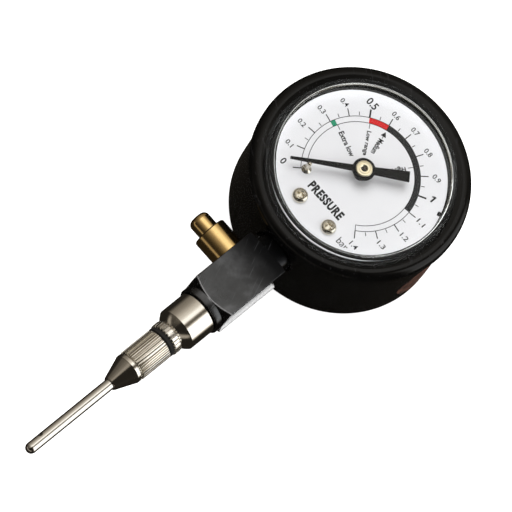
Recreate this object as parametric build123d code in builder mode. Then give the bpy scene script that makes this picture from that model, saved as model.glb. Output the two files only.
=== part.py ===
"""Ball pressure gauge: dial gauge, release valve and screw-in ball needle.

The gauge lies on the back of its case. Origin: centre of the case's back face. +Z points out of
the dial, the needle points along -Y and the release valve along -X. Millimetres.
Clock angles are seen from the front: 0 degrees is 12 o'clock (+Y), 90 degrees is 3 o'clock (+X).
"""

from build123d import *
import math
import os

os.makedirs("parts", exist_ok=True)

# ---- driving dimensions -------------------------------------------------------------------
CASE_R = 21.35
CASE_WALL = 1.0
CASE_INNER_R = CASE_R - CASE_WALL
CASE_BACK_ROUND = 1.6
DIAL_FACE_Z = 22.0
DIAL_THICKNESS = 0.5
DIAL_BACK_Z = DIAL_FACE_Z - DIAL_THICKNESS
DIAL_R = 17.3
CASE_MOUTH_R = DIAL_R + 0.1
CASE_RIM_Z = DIAL_FACE_Z + 0.05
BEZEL_R = 22.12
BEZEL_SKIRT_Z = DIAL_FACE_Z - 1.4
BEZEL_LIP_R = 18.75
BEZEL_TOP_Z = DIAL_FACE_Z + 1.25
BEZEL_LIP_Z = DIAL_FACE_Z + 0.98
BEZEL_ROUND = 1.7
GASKET_THICKNESS = 0.12
WINDOW_FLANGE_Z = CASE_RIM_Z + GASKET_THICKNESS
WINDOW_WALL = 0.8
WINDOW_FLANGE = 0.35
WINDOW_TOP_Z = DIAL_FACE_Z + 4.3

NEEDLE_AXIS_Z = 13.5
VALVE_AXIS_Y = -28.2

# movement: a pinion on the pointer's arbor, driven by a toothed sector
GEAR_MODULE = 0.2
PINION_TEETH = 12
SECTOR_TEETH = 60
PRESSURE_ANGLE = math.radians(20)
PINION_PITCH_R = GEAR_MODULE * PINION_TEETH / 2
SECTOR_PITCH_R = GEAR_MODULE * SECTOR_TEETH / 2
SECTOR_PIVOT = (0.0, -(PINION_PITCH_R + SECTOR_PITCH_R))
SECTOR_STEP = 360 / SECTOR_TEETH
TAIL_LENGTH = 2.8
TAIL_ANGLE = -69.6
BACK_PLATE_Z = 13.9
FRONT_PLATE_Z = 18.6
PLATE_THICKNESS = 0.6
PILLARS = [(-6.6, -3.4), (6.6, -3.4), (0.0, 5.0)]

# Bourdon tube: a flattened tube bent in a circle, from the socket to the moving tip
TUBE_R = 14.6
TUBE_START_CLOCK = 202.0
TUBE_SWEEP = 283.0
TUBE_Z = 12.5
TIP_CLOCK = 128.0

DIAL_SCREWS = [(-4.1, -12.7), (4.1, -12.7)]
CASE_SCREWS = [(-3.4, -14.9), (3.4, -14.9)]
PLATE_SCREWS = [(-3.6, -9.3), (3.6, -9.3)]

POINTER_REST_CLOCK = -132.5
STOP_PIN_CLOCK = -137.3
STOP_PIN_RADIUS_FROM_CENTRE = 10.8

# ---- frames -------------------------------------------------------------------------------
# across the needle: local z runs from the dial's centre towards the needle's tip
NEEDLE = Plane(origin=(0, 0, NEEDLE_AXIS_Z), x_dir=(1, 0, 0), z_dir=(0, -1, 0))
# through the needle's axis: local x is the distance from the dial's centre, local y the radius
NEEDLE_PROFILE = Plane(origin=(0, 0, NEEDLE_AXIS_Z), x_dir=(0, -1, 0), z_dir=(0, 0, 1))
NEEDLE_AXIS = Axis((0, 0, NEEDLE_AXIS_Z), (0, -1, 0))
# the same pair for the release valve, measured from the middle of the block towards -X
VALVE_CENTRE = (0, VALVE_AXIS_Y, NEEDLE_AXIS_Z)
VALVE = Plane(origin=VALVE_CENTRE, x_dir=(0, 1, 0), z_dir=(-1, 0, 0))
VALVE_PROFILE = Plane(origin=VALVE_CENTRE, x_dir=(-1, 0, 0), z_dir=(0, 0, 1))
VALVE_AXIS = Axis(VALVE_CENTRE, (-1, 0, 0))
CLOCKWISE = Axis((0, 0, 0), (0, 0, -1))


def at_clock(radius, clock):
    """Point on the dial at a radius and a clock angle in degrees."""
    angle = math.radians(clock)
    return (radius * math.sin(angle), radius * math.cos(angle))


def radial_plane(clock):
    """Plane through the dial's axis: local x is the radius at this clock angle, local y is +Z."""
    out_x, out_y = at_clock(1, clock)
    return Plane(origin=(0, 0, 0), x_dir=(out_x, out_y, 0), z_dir=(out_y, -out_x, 0))


def tooth_outline(teeth, addendum, dedendum, thinning):
    """One involute tooth, centred on local +X."""
    pitch_r = GEAR_MODULE * teeth / 2
    base_r = pitch_r * math.cos(PRESSURE_ANGLE)
    root_r = pitch_r - dedendum
    tip_r = pitch_r + addendum
    half_angle = (math.pi * GEAR_MODULE / 2 - thinning) / 2 / pitch_r
    start_r = max(base_r, root_r)
    flank = [(root_r - 0.1, half_angle + math.tan(PRESSURE_ANGLE) - PRESSURE_ANGLE)]
    steps = 4
    for step in range(steps + 1):
        radius = start_r + (tip_r - start_r) * step / steps
        roll = math.acos(min(1.0, base_r / radius))
        angle = half_angle + math.tan(PRESSURE_ANGLE) - PRESSURE_ANGLE - math.tan(roll) + roll
        flank.append((radius, angle))
    right = [(r * math.cos(a), -r * math.sin(a)) for r, a in flank]
    left = [(r * math.cos(a), r * math.sin(a)) for r, a in reversed(flank)]
    return right + left


def knurl_outline(radius, depth, ridges):
    """Star outline of a straight knurl: a ridge and a groove in turn."""
    points = []
    for index in range(ridges):
        middle = 2 * math.pi * index / ridges
        for offset, reach in ((-0.12, radius), (0.12, radius), (0.5, radius - depth)):
            angle = middle + offset * 2 * math.pi / ridges
            points.append((reach * math.cos(angle), reach * math.sin(angle)))
    return points


# ---- case: a deep round can with an inward lip that frames the dial ------------------------
NECK_HOLE_R = 4.7
VENT_CLOCK = 88.0
VENT_Z = 8.8
VENT_HOLE_R = 5.6
VENT_FLANGE_START = 18.4
VENT_FACE = 21.85
KEY_CLOCK = 67.0
KEY_WIDTH = 0.75
KEY_INNER_R = 16.75
vent_x, vent_y = at_clock(1, VENT_CLOCK)
VENT = Plane(origin=(0, 0, VENT_Z), x_dir=(vent_y, -vent_x, 0), z_dir=(vent_x, vent_y, 0))

with BuildPart() as case:
    with BuildSketch(Plane.XZ):
        with BuildLine():
            Line((0, 0), (CASE_R - CASE_BACK_ROUND, 0))
            RadiusArc((CASE_R - CASE_BACK_ROUND, 0), (CASE_R, CASE_BACK_ROUND), -CASE_BACK_ROUND)
            Polyline(
                (CASE_R, CASE_BACK_ROUND),
                (CASE_R, CASE_RIM_Z),
                (18.55, CASE_RIM_Z),
                (CASE_MOUTH_R, DIAL_FACE_Z - 0.15),
                (CASE_MOUTH_R, DIAL_BACK_Z - 0.3),
                (CASE_INNER_R, DIAL_BACK_Z - 1.7),
                (CASE_INNER_R, CASE_WALL + 1.2),
                (CASE_INNER_R - 1.2, CASE_WALL),
                (0, CASE_WALL),
                (0, 0),
            )
        make_face()
    revolve(axis=Axis.Z)
    # key that holds the dial's notch
    with BuildSketch(radial_plane(KEY_CLOCK)):
        with Locations(((KEY_INNER_R + CASE_MOUTH_R + 0.4) / 2, DIAL_FACE_Z - 0.25)):
            Rectangle(CASE_MOUTH_R + 0.4 - KEY_INNER_R, 0.8)
    extrude(amount=KEY_WIDTH / 2, both=True)
    # hole for the block's neck
    with BuildSketch(NEEDLE.offset(18.5)):
        Circle(NECK_HOLE_R)
    extrude(amount=3.5, mode=Mode.SUBTRACT)
    # hole for the vent plug
    with BuildSketch(VENT.offset(17.0)):
        Circle(VENT_HOLE_R)
    extrude(amount=5.0, mode=Mode.SUBTRACT)
    # countersunk holes for the two screws that hold the socket
    with Locations(*[(x, y, 0) for x, y in CASE_SCREWS]):
        Cylinder(1.15, 3, align=(Align.CENTER, Align.CENTER, Align.CENTER), mode=Mode.SUBTRACT)
        Cone(2.05, 1.05, 0.9, align=(Align.CENTER, Align.CENTER, Align.MIN), mode=Mode.SUBTRACT)
case.part.label = "case"
export_step(case.part, "parts/case.step")

# ---- bezel: push-on ring with a rounded shoulder and a low lip over the window's flange ----
with BuildPart() as bezel:
    with BuildSketch(Plane.XZ):
        with BuildLine():
            Polyline(
                (CASE_R + 0.05, BEZEL_SKIRT_Z),
                (BEZEL_R, BEZEL_SKIRT_Z),
                (BEZEL_R, BEZEL_TOP_Z),
                (20.0, BEZEL_TOP_Z),
                (BEZEL_LIP_R, BEZEL_LIP_Z),
                (BEZEL_LIP_R, WINDOW_FLANGE_Z + WINDOW_FLANGE + 0.02),
                (CASE_R + 0.05, WINDOW_FLANGE_Z + WINDOW_FLANGE + 0.02),
                close=True,
            )
        bezel_face = make_face()
        shoulder = bezel_face.vertices().group_by(Axis.X)[-1].sort_by(Axis.Z)
        fillet(shoulder[-1], BEZEL_ROUND)
        fillet(shoulder[0], 0.3)
        lip_edge = [v for v in bezel_face.vertices() if abs(v.Z - BEZEL_LIP_Z) < 0.01]
        fillet(lip_edge, 0.25)
    revolve(axis=Axis.Z)
bezel.part.label = "bezel"
export_step(bezel.part, "parts/bezel.step")

# ---- window: raised clear moulding with a flange under the bezel ---------------------------
WINDOW_R = BEZEL_LIP_R - 0.1
SHOULDER_R = WINDOW_R - 0.55
DOME_DROP = 1.2
WALL_TOP_Z = DIAL_FACE_Z + 2.3
INNER_WALL_TOP_Z = DIAL_FACE_Z + 1.8
DOME_R = (SHOULDER_R**2 + DOME_DROP**2) / (2 * DOME_DROP)
DOME_CENTRE_Z = WINDOW_TOP_Z - DOME_R
OUTER_SPAN = math.degrees(math.asin(SHOULDER_R / DOME_R))
INNER_SPAN = math.degrees(math.asin((SHOULDER_R - 0.7) / (DOME_R - WINDOW_WALL)))
with BuildPart() as window:
    with BuildSketch(Plane.XZ):
        with BuildLine():
            Line((0, WINDOW_TOP_Z - WINDOW_WALL), (0, WINDOW_TOP_Z))
            outside = CenterArc((0, DOME_CENTRE_Z), DOME_R, 90 - OUTER_SPAN, OUTER_SPAN)
            ThreePointArc(
                outside @ 0,
                (WINDOW_R - 0.12, DIAL_FACE_Z + 2.78),
                (WINDOW_R, WALL_TOP_Z),
            )
            Polyline(
                (WINDOW_R, WALL_TOP_Z),
                (WINDOW_R, WINDOW_FLANGE_Z + WINDOW_FLANGE),
                (20.5, WINDOW_FLANGE_Z + WINDOW_FLANGE),
                (20.5, WINDOW_FLANGE_Z),
                (WINDOW_R - WINDOW_WALL, WINDOW_FLANGE_Z),
                (WINDOW_R - WINDOW_WALL, INNER_WALL_TOP_Z),
            )
            inside = CenterArc((0, DOME_CENTRE_Z), DOME_R - WINDOW_WALL, 90 - INNER_SPAN, INNER_SPAN)
            ThreePointArc(
                (WINDOW_R - WINDOW_WALL, INNER_WALL_TOP_Z),
                (WINDOW_R - WINDOW_WALL - 0.12, DIAL_FACE_Z + 2.14),
                inside @ 0,
            )
        make_face()
    revolve(axis=Axis.Z)
window.part.label = "window"
export_step(window.part, "parts/window.step")

# ---- window gasket --------------------------------------------------------------------------
with BuildPart() as window_gasket:
    with BuildSketch(Plane.XY.offset(CASE_RIM_Z)):
        Circle(20.5)
        Circle(18.8, mode=Mode.SUBTRACT)
    extrude(amount=GASKET_THICKNESS)
window_gasket.part.label = "window_gasket"
export_step(window_gasket.part, "parts/window_gasket.step")

# ---- vent plug: rubber blow-out plug in the side of the case --------------------------------
with BuildPart() as vent_plug:
    with BuildSketch(VENT.offset(VENT_FLANGE_START)):
        Circle(6.3)
    extrude(amount=0.6)
    with BuildSketch(VENT.offset(VENT_FLANGE_START + 0.5)):
        Circle(VENT_HOLE_R - 0.1)
    extrude(amount=VENT_FACE - VENT_FLANGE_START - 0.5)
    chamfer(vent_plug.faces().sort_by(Axis((0, 0, VENT_Z), (vent_x, vent_y, 0)))[-1].edges(), 0.25)
vent_plug.part.label = "vent_plug"
export_step(vent_plug.part, "parts/vent_plug.step")

# ---- dial: thin white disc with a notch for the case's key ----------------------------------
STOP_PIN_X, STOP_PIN_Y = at_clock(STOP_PIN_RADIUS_FROM_CENTRE, STOP_PIN_CLOCK)
with BuildPart() as dial:
    with BuildSketch(Plane.XY.offset(DIAL_BACK_Z)):
        Circle(DIAL_R)
        Circle(1.5, mode=Mode.SUBTRACT)
        with Locations(*DIAL_SCREWS):
            Circle(0.9, mode=Mode.SUBTRACT)
        with Locations((STOP_PIN_X, STOP_PIN_Y)):
            Circle(0.5, mode=Mode.SUBTRACT)
        with Locations(at_clock(DIAL_R, KEY_CLOCK)):
            Rectangle(1.3, KEY_WIDTH + 0.2, rotation=90 - KEY_CLOCK, mode=Mode.SUBTRACT)
    extrude(amount=DIAL_THICKNESS)
dial.part.label = "dial"
export_step(dial.part, "parts/dial.step")

# ---- dial screws: two cross-head screws into the socket's posts ------------------------------
with BuildPart() as dial_screws:
    with Locations(*[(x, y, DIAL_FACE_Z) for x, y in DIAL_SCREWS]):
        Cylinder(1.575, 0.95, align=(Align.CENTER, Align.CENTER, Align.MIN))
        Cylinder(0.75, 4.0, align=(Align.CENTER, Align.CENTER, Align.MAX))
    fillet(dial_screws.edges().group_by(Axis.Z)[-1], 0.55)
    with Locations(*[(x, y, DIAL_FACE_Z + 0.95) for x, y in DIAL_SCREWS]):
        Box(1.7, 0.36, 0.9, rotation=(0, 0, 25), mode=Mode.SUBTRACT)
        Box(0.36, 1.7, 0.9, rotation=(0, 0, 25), mode=Mode.SUBTRACT)
dial_screws.part.label = "dial_screws"
export_step(dial_screws.part, "parts/dial_screws.step")

# ---- stop pin: riveted through the dial, under the pointer's zero ----------------------------
with BuildPart() as stop_pin:
    with Locations((STOP_PIN_X, STOP_PIN_Y, DIAL_BACK_Z)):
        Cylinder(0.45, 3.6, align=(Align.CENTER, Align.CENTER, Align.MIN))
    fillet(stop_pin.edges().group_by(Axis.Z)[-1], 0.4)
    with Locations((STOP_PIN_X, STOP_PIN_Y, DIAL_FACE_Z)):
        Cone(1.0, 0.45, 0.4, align=(Align.CENTER, Align.CENTER, Align.MIN))
stop_pin.part.label = "stop_pin"
export_step(stop_pin.part, "parts/stop_pin.step")

# ---- socket: brass block inside the case that carries the tube, the movement and the dial ----
SOCKET_HALF_WIDTH = 5.5
SOCKET_FRONT_Y = -18.9
SOCKET_TOP_Z = 17.6
SOCKET_BOTTOM_Z = 9.0
with BuildPart() as socket:
    with BuildSketch(Plane.XY.offset(SOCKET_BOTTOM_Z)):
        with Locations((0, (SOCKET_FRONT_Y - 11.0) / 2)):
            Rectangle(2 * SOCKET_HALF_WIDTH, -11.0 - SOCKET_FRONT_Y)
    extrude(amount=SOCKET_TOP_Z - SOCKET_BOTTOM_Z)
    # keep the corners inside the round case
    with BuildSketch(Plane.XY.offset(SOCKET_BOTTOM_Z)):
        Circle(CASE_INNER_R - 0.3)
    extrude(amount=SOCKET_TOP_Z - SOCKET_BOTTOM_Z, mode=Mode.INTERSECT)
    # ledge for the movement
    with BuildSketch(Plane.XY.offset(SOCKET_BOTTOM_Z)):
        with Locations((0, -9.45)):
            Rectangle(2 * SOCKET_HALF_WIDTH, 3.1)
    extrude(amount=BACK_PLATE_Z - SOCKET_BOTTOM_Z)
    # posts under the dial, legs down to the case back
    with BuildSketch(Plane.XY.offset(SOCKET_TOP_Z)):
        with Locations(*DIAL_SCREWS):
            Circle(1.7)
    extrude(amount=DIAL_BACK_Z - SOCKET_TOP_Z)
    with BuildSketch(Plane.XY.offset(CASE_WALL)):
        with Locations(*CASE_SCREWS):
            Circle(1.9)
    extrude(amount=SOCKET_BOTTOM_Z - CASE_WALL)
    with Locations(*[(x, y, DIAL_BACK_Z) for x, y in DIAL_SCREWS]):
        Hole(0.8, 4.2)
    with Locations(*[(x, y, BACK_PLATE_Z) for x, y in PLATE_SCREWS]):
        Hole(0.65, 3.0)
    with Locations(*[(x, y, CASE_WALL) for x, y in CASE_SCREWS]):
        Cylinder(1.0, 6.5, align=(Align.CENTER, Align.CENTER, Align.MIN), mode=Mode.SUBTRACT)
    # threaded bore for the block's neck, and the air passage to the tube
    with BuildSketch(NEEDLE.offset(12.8)):
        Circle(3.05)
    extrude(amount=7.0, mode=Mode.SUBTRACT)
    with BuildSketch(Plane.YZ.offset(-4.6)):
        with Locations((-14.1, TUBE_Z)):
            Circle(0.5)
    extrude(amount=4.6, mode=Mode.SUBTRACT)
    # slot for the root of the tube
    with BuildSketch(radial_plane(TUBE_START_CLOCK - 8)):
        with Locations((TUBE_R, TUBE_Z)):
            RectangleRounded(1.7, 6.1, 0.8)
    revolve(axis=CLOCKWISE, revolution_arc=20, mode=Mode.SUBTRACT)
socket.part.label = "socket"
export_step(socket.part, "parts/socket.step")

# ---- case screws: two countersunk screws from the back ---------------------------------------
with BuildPart() as case_screws:
    with Locations(*[(x, y, 0.03) for x, y in CASE_SCREWS]):
        Cone(1.95, 0.95, 0.9, align=(Align.CENTER, Align.CENTER, Align.MIN))
        Cylinder(0.95, 6.2, align=(Align.CENTER, Align.CENTER, Align.MIN))
        Box(0.4, 3.0, 0.7, mode=Mode.SUBTRACT)
case_screws.part.label = "case_screws"
export_step(case_screws.part, "parts/case_screws.step")

# ---- Bourdon tube: flattened, hollow, its root in the socket's slot ---------------------------
with BuildPart() as bourdon_tube:
    with BuildSketch(radial_plane(TUBE_START_CLOCK - 7)):
        with Locations((TUBE_R, TUBE_Z)):
            RectangleRounded(1.6, 6.0, 0.75)
            RectangleRounded(1.0, 5.4, 0.45, mode=Mode.SUBTRACT)
    revolve(axis=CLOCKWISE, revolution_arc=TUBE_SWEEP + 7)
bourdon_tube.part.label = "bourdon_tube"
export_step(bourdon_tube.part, "parts/bourdon_tube.step")

# ---- tube tip: cap on the tube's free end, with a post for the link ----------------------------
TIP_X, TIP_Y = at_clock(TUBE_R, TIP_CLOCK)
LINK_Z = 17.9
with BuildPart() as tube_tip:
    with BuildSketch(radial_plane(TUBE_START_CLOCK + TUBE_SWEEP + 0.3)):
        with Locations((TUBE_R, TUBE_Z)):
            RectangleRounded(2.2, 6.6, 1.0)
    revolve(axis=CLOCKWISE, revolution_arc=6)
    with BuildSketch(Plane.XY.offset(TUBE_Z + 3.1)):
        with Locations((TIP_X, TIP_Y)):
            Circle(0.9)
    extrude(amount=LINK_Z - 0.1 - TUBE_Z - 3.1)
tube_tip.part.label = "tube_tip"
export_step(tube_tip.part, "parts/tube_tip.step")

with BuildPart() as tip_pin:
    with Locations((TIP_X, TIP_Y, LINK_Z - 0.08)):
        Cylinder(0.4, 0.6, align=(Align.CENTER, Align.CENTER, Align.MIN))
tip_pin.part.label = "tip_pin"
export_step(tip_pin.part, "parts/tip_pin.step")

# ---- sector gear: toothed arc, hub and tail ----------------------------------------------------
SECTOR_Z = 17.1
SECTOR_THICKNESS = 0.6
FIRST_TOOTH = 90 - 10.5 * SECTOR_STEP
TOOTH_COUNT = 13
LAST_TOOTH = FIRST_TOOTH + (TOOTH_COUNT - 1) * SECTOR_STEP
SECTOR_ROOT_R = SECTOR_PITCH_R - 0.3
tail_x = TAIL_LENGTH * math.cos(math.radians(TAIL_ANGLE))
tail_y = TAIL_LENGTH * math.sin(math.radians(TAIL_ANGLE))


def sector_point(radius, degrees):
    """Point on the sector, from its pivot."""
    return (radius * math.cos(math.radians(degrees)), radius * math.sin(math.radians(degrees)))


sector_tooth = tooth_outline(SECTOR_TEETH, 0.15, 0.3, 0.07)
SECTOR_PLANE = Plane(origin=(SECTOR_PIVOT[0], SECTOR_PIVOT[1], SECTOR_Z))
RIM_START = FIRST_TOOTH - 4
RIM_END = LAST_TOOTH + 4
with BuildPart() as sector_gear:
    with BuildSketch(SECTOR_PLANE):
        # toothed rim
        with BuildLine():
            CenterArc((0, 0), SECTOR_ROOT_R, RIM_START, RIM_END - RIM_START)
            CenterArc((0, 0), SECTOR_ROOT_R - 1.0, RIM_START, RIM_END - RIM_START)
            Line(sector_point(SECTOR_ROOT_R, RIM_START), sector_point(SECTOR_ROOT_R - 1.0, RIM_START))
            Line(sector_point(SECTOR_ROOT_R, RIM_END), sector_point(SECTOR_ROOT_R - 1.0, RIM_END))
        make_face()
        with PolarLocations(0, TOOTH_COUNT, start_angle=FIRST_TOOTH, angular_range=LAST_TOOTH - FIRST_TOOTH,
                            endpoint=True):
            Polygon(*sector_tooth, align=None)
        # two arms
        for low, high in ((RIM_START, RIM_START + 12), (RIM_END - 12, RIM_END)):
            Polygon(
                sector_point(0.9, low - 90),
                sector_point(SECTOR_ROOT_R - 0.5, low),
                sector_point(SECTOR_ROOT_R - 0.5, high),
                sector_point(0.9, high + 90),
                align=None,
            )
        # hub and tail
        Circle(1.3)
        with BuildLine():
            Polyline(
                sector_point(0.9, TAIL_ANGLE - 90),
                (tail_x - 0.5, tail_y - 0.3),
                (tail_x + 0.6, tail_y + 0.2),
                sector_point(0.9, TAIL_ANGLE + 90),
                close=True,
            )
        make_face()
        with Locations((tail_x, tail_y)):
            Circle(0.75)
        Circle(0.5, mode=Mode.SUBTRACT)
        with Locations((tail_x, tail_y)):
            Circle(0.4, mode=Mode.SUBTRACT)
    extrude(amount=SECTOR_THICKNESS)
sector_gear.part.label = "sector_gear"
export_step(sector_gear.part, "parts/sector_gear.step")

with BuildPart() as tail_pin:
    with Locations((SECTOR_PIVOT[0] + tail_x, SECTOR_PIVOT[1] + tail_y, SECTOR_Z)):
        Cylinder(0.38, LINK_Z + 0.5 - SECTOR_Z, align=(Align.CENTER, Align.CENTER, Align.MIN))
tail_pin.part.label = "tail_pin"
export_step(tail_pin.part, "parts/tail_pin.step")

with BuildPart() as sector_arbor:
    with Locations((SECTOR_PIVOT[0], SECTOR_PIVOT[1], BACK_PLATE_Z + 0.05)):
        Cylinder(0.48, FRONT_PLATE_Z + PLATE_THICKNESS - BACK_PLATE_Z,
                 align=(Align.CENTER, Align.CENTER, Align.MIN))
    # collar under the sector
    with Locations((SECTOR_PIVOT[0], SECTOR_PIVOT[1], SECTOR_Z - 0.8)):
        Cylinder(0.9, 0.78, align=(Align.CENTER, Align.CENTER, Align.MIN))
sector_arbor.part.label = "sector_arbor"
export_step(sector_arbor.part, "parts/sector_arbor.step")

# ---- link: flat bar from the tube's tip to the sector's tail -----------------------------------
# The eye at the tail is wide: the pin stays clear of it through the whole travel.
TAIL_PIN = (SECTOR_PIVOT[0] + tail_x, SECTOR_PIVOT[1] + tail_y)
LINK_LENGTH = math.dist(TAIL_PIN, (TIP_X, TIP_Y))
LINK_ANGLE = math.degrees(math.atan2(TIP_Y - TAIL_PIN[1], TIP_X - TAIL_PIN[0]))
LINK_MIDDLE = ((TIP_X + TAIL_PIN[0]) / 2, (TIP_Y + TAIL_PIN[1]) / 2)
with BuildPart() as link:
    with BuildSketch(Plane.XY.offset(LINK_Z)):
        with Locations(LINK_MIDDLE):
            Rectangle(LINK_LENGTH, 0.9, rotation=LINK_ANGLE)
        with Locations(TAIL_PIN):
            Circle(1.15)
        with Locations((TIP_X, TIP_Y)):
            Circle(0.85)
        with Locations(TAIL_PIN):
            Circle(0.72, mode=Mode.SUBTRACT)
        with Locations((TIP_X, TIP_Y)):
            Circle(0.45, mode=Mode.SUBTRACT)
    extrude(amount=0.4)
link.part.label = "link"
export_step(link.part, "parts/link.step")

# ---- movement plates, pillars and screws -------------------------------------------------------
with BuildPart() as back_plate:
    with BuildSketch(Plane.XY.offset(BACK_PLATE_Z)):
        with Locations(*PILLARS):
            Circle(1.7)
        with Locations(*PLATE_SCREWS):
            Circle(1.5)
        make_hull()
        Circle(0.45, mode=Mode.SUBTRACT)
        with Locations(SECTOR_PIVOT):
            Circle(0.53, mode=Mode.SUBTRACT)
        with Locations(*PLATE_SCREWS):
            Circle(0.7, mode=Mode.SUBTRACT)
    extrude(amount=PLATE_THICKNESS)
back_plate.part.label = "back_plate"
export_step(back_plate.part, "parts/back_plate.step")

with BuildPart() as front_plate:
    with BuildSketch(Plane.XY.offset(FRONT_PLATE_Z)):
        with Locations(*PILLARS):
            Circle(1.7)
        with Locations(SECTOR_PIVOT):
            Circle(1.5)
        make_hull()
        Circle(0.75, mode=Mode.SUBTRACT)
        with Locations(SECTOR_PIVOT):
            Circle(0.53, mode=Mode.SUBTRACT)
        with Locations(*PILLARS):
            Circle(0.6, mode=Mode.SUBTRACT)
    extrude(amount=PLATE_THICKNESS)
front_plate.part.label = "front_plate"
export_step(front_plate.part, "parts/front_plate.step")

with BuildPart() as pillars:
    with BuildSketch(Plane.XY.offset(BACK_PLATE_Z + PLATE_THICKNESS)):
        with Locations(*PILLARS):
            Circle(0.95)
            Circle(0.5, mode=Mode.SUBTRACT)
    extrude(amount=FRONT_PLATE_Z - BACK_PLATE_Z - PLATE_THICKNESS)
pillars.part.label = "pillars"
export_step(pillars.part, "parts/pillars.step")

with BuildPart() as pillar_screws:
    with Locations(*[(x, y, FRONT_PLATE_Z + PLATE_THICKNESS) for x, y in PILLARS]):
        Cylinder(1.1, 0.8, align=(Align.CENTER, Align.CENTER, Align.MIN))
        Cylinder(0.45, 3.0, align=(Align.CENTER, Align.CENTER, Align.MAX))
    with Locations(*[(x, y, FRONT_PLATE_Z + PLATE_THICKNESS + 0.8) for x, y in PILLARS]):
        Box(3.0, 0.3, 0.7, mode=Mode.SUBTRACT)
pillar_screws.part.label = "pillar_screws"
export_step(pillar_screws.part, "parts/pillar_screws.step")

with BuildPart() as plate_screws:
    with Locations(*[(x, y, BACK_PLATE_Z + PLATE_THICKNESS) for x, y in PLATE_SCREWS]):
        Cylinder(1.2, 0.8, align=(Align.CENTER, Align.CENTER, Align.MIN))
        Cylinder(0.6, 3.2, align=(Align.CENTER, Align.CENTER, Align.MAX))
    with Locations(*[(x, y, BACK_PLATE_Z + PLATE_THICKNESS + 0.8) for x, y in PLATE_SCREWS]):
        Box(3.0, 0.35, 0.7, mode=Mode.SUBTRACT)
plate_screws.part.label = "plate_screws"
export_step(plate_screws.part, "parts/plate_screws.step")

# ---- pinion arbor: pivot, hairspring collet, pinion, and the stem that carries the pointer -------
POINTER_Z = DIAL_FACE_Z + 2.1
BLADE_THICKNESS = 0.4
PINION_Z = 16.9
pinion_tooth = tooth_outline(PINION_TEETH, 0.17, 0.26, 0.07)
with BuildPart() as pinion_arbor:
    with BuildSketch(Plane.XZ):
        with BuildLine():
            Polyline(
                (0, BACK_PLATE_Z),
                (0.4, BACK_PLATE_Z),
                (0.4, 14.6),
                (0.95, 14.6),
                (0.95, 15.5),
                (0.7, 15.5),
                (0.7, POINTER_Z - 1.2),
                (0.36, POINTER_Z - 1.2),
                (0.36, POINTER_Z + 0.7),
                (0, POINTER_Z + 0.7),
                close=True,
            )
        make_face()
    revolve(axis=Axis.Z)
    with BuildSketch(Plane.XY.offset(PINION_Z)):
        Circle(PINION_PITCH_R - 0.26)
        with PolarLocations(0, PINION_TEETH, start_angle=-90):
            Polygon(*pinion_tooth, align=None)
    extrude(amount=1.2)
pinion_arbor.part.label = "pinion_arbor"
export_step(pinion_arbor.part, "parts/pinion_arbor.step")

# ---- hairspring: flat spiral around the arbor's collet, and the stud that holds its outer end ----
SPRING_INNER_R = 1.25
SPRING_PITCH = 0.55
SPRING_TURNS = 4
SPRING_RIBBON = 0.12


def spiral(offset):
    """Points of an Archimedean spiral, a step every 30 degrees."""
    steps = SPRING_TURNS * 12
    points = []
    for step in range(steps + 1):
        turn = step / 12
        radius = SPRING_INNER_R + offset + SPRING_PITCH * turn
        points.append((radius * math.cos(2 * math.pi * turn), radius * math.sin(2 * math.pi * turn)))
    return points


with BuildPart() as hairspring:
    with BuildSketch(Plane.XY.offset(14.8)):
        with BuildLine():
            inner = Spline(*spiral(0))
            outer = Spline(*spiral(SPRING_RIBBON))
            Line(inner @ 0, outer @ 0)
            Line(inner @ 1, outer @ 1)
        make_face()
    extrude(amount=0.5)
hairspring.part.label = "hairspring"
export_step(hairspring.part, "parts/hairspring.step")

SPRING_END_R = SPRING_INNER_R + SPRING_PITCH * SPRING_TURNS
with BuildPart() as hairspring_stud:
    with BuildSketch(Plane.XY.offset(BACK_PLATE_Z + PLATE_THICKNESS)):
        with Locations((SPRING_END_R + SPRING_RIBBON + 0.5, 0)):
            Circle(0.45)
    extrude(amount=1.2)
hairspring_stud.part.label = "hairspring_stud"
export_step(hairspring_stud.part, "parts/hairspring_stud.step")

# ---- pointer: tapered blade with a wide balance tail, and its turned brass hub --------------------
POINTER_LENGTH = 14.55
TAIL_BALANCE = 9.1
POINTER_PLANE = Plane(origin=(0, 0, POINTER_Z), x_dir=(*at_clock(1, POINTER_REST_CLOCK), 0), z_dir=(0, 0, 1))
with BuildPart() as pointer:
    with BuildSketch(POINTER_PLANE):
        with BuildLine():
            Polyline(
                (POINTER_LENGTH, -0.24),
                (POINTER_LENGTH, 0.24),
                (0, 0.68),
                (-TAIL_BALANCE, 1.08),
                (-TAIL_BALANCE, -1.08),
                (0, -0.68),
                close=True,
            )
        make_face()
        Circle(2.3)
        Circle(1.05, mode=Mode.SUBTRACT)
    extrude(amount=BLADE_THICKNESS)
pointer.part.label = "pointer"
export_step(pointer.part, "parts/pointer.step")

with BuildPart() as pointer_hub:
    with BuildSketch(Plane.XZ):
        with BuildLine():
            Polyline(
                (0.4, POINTER_Z - 1.1),
                (1.35, POINTER_Z - 1.1),
                (1.35, POINTER_Z - 0.02),
                (1.0, POINTER_Z - 0.02),
                (1.0, POINTER_Z + BLADE_THICKNESS + 0.02),
                (1.7, POINTER_Z + BLADE_THICKNESS + 0.02),
                (1.7, POINTER_Z + 0.7),
                (1.5, POINTER_Z + 0.85),
                (0.62, POINTER_Z + 0.85),
                (0.4, POINTER_Z + 0.6),
                close=True,
            )
        make_face()
    revolve(axis=Axis.Z)
pointer_hub.part.label = "pointer_hub"
export_step(pointer_hub.part, "parts/pointer_hub.step")

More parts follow.
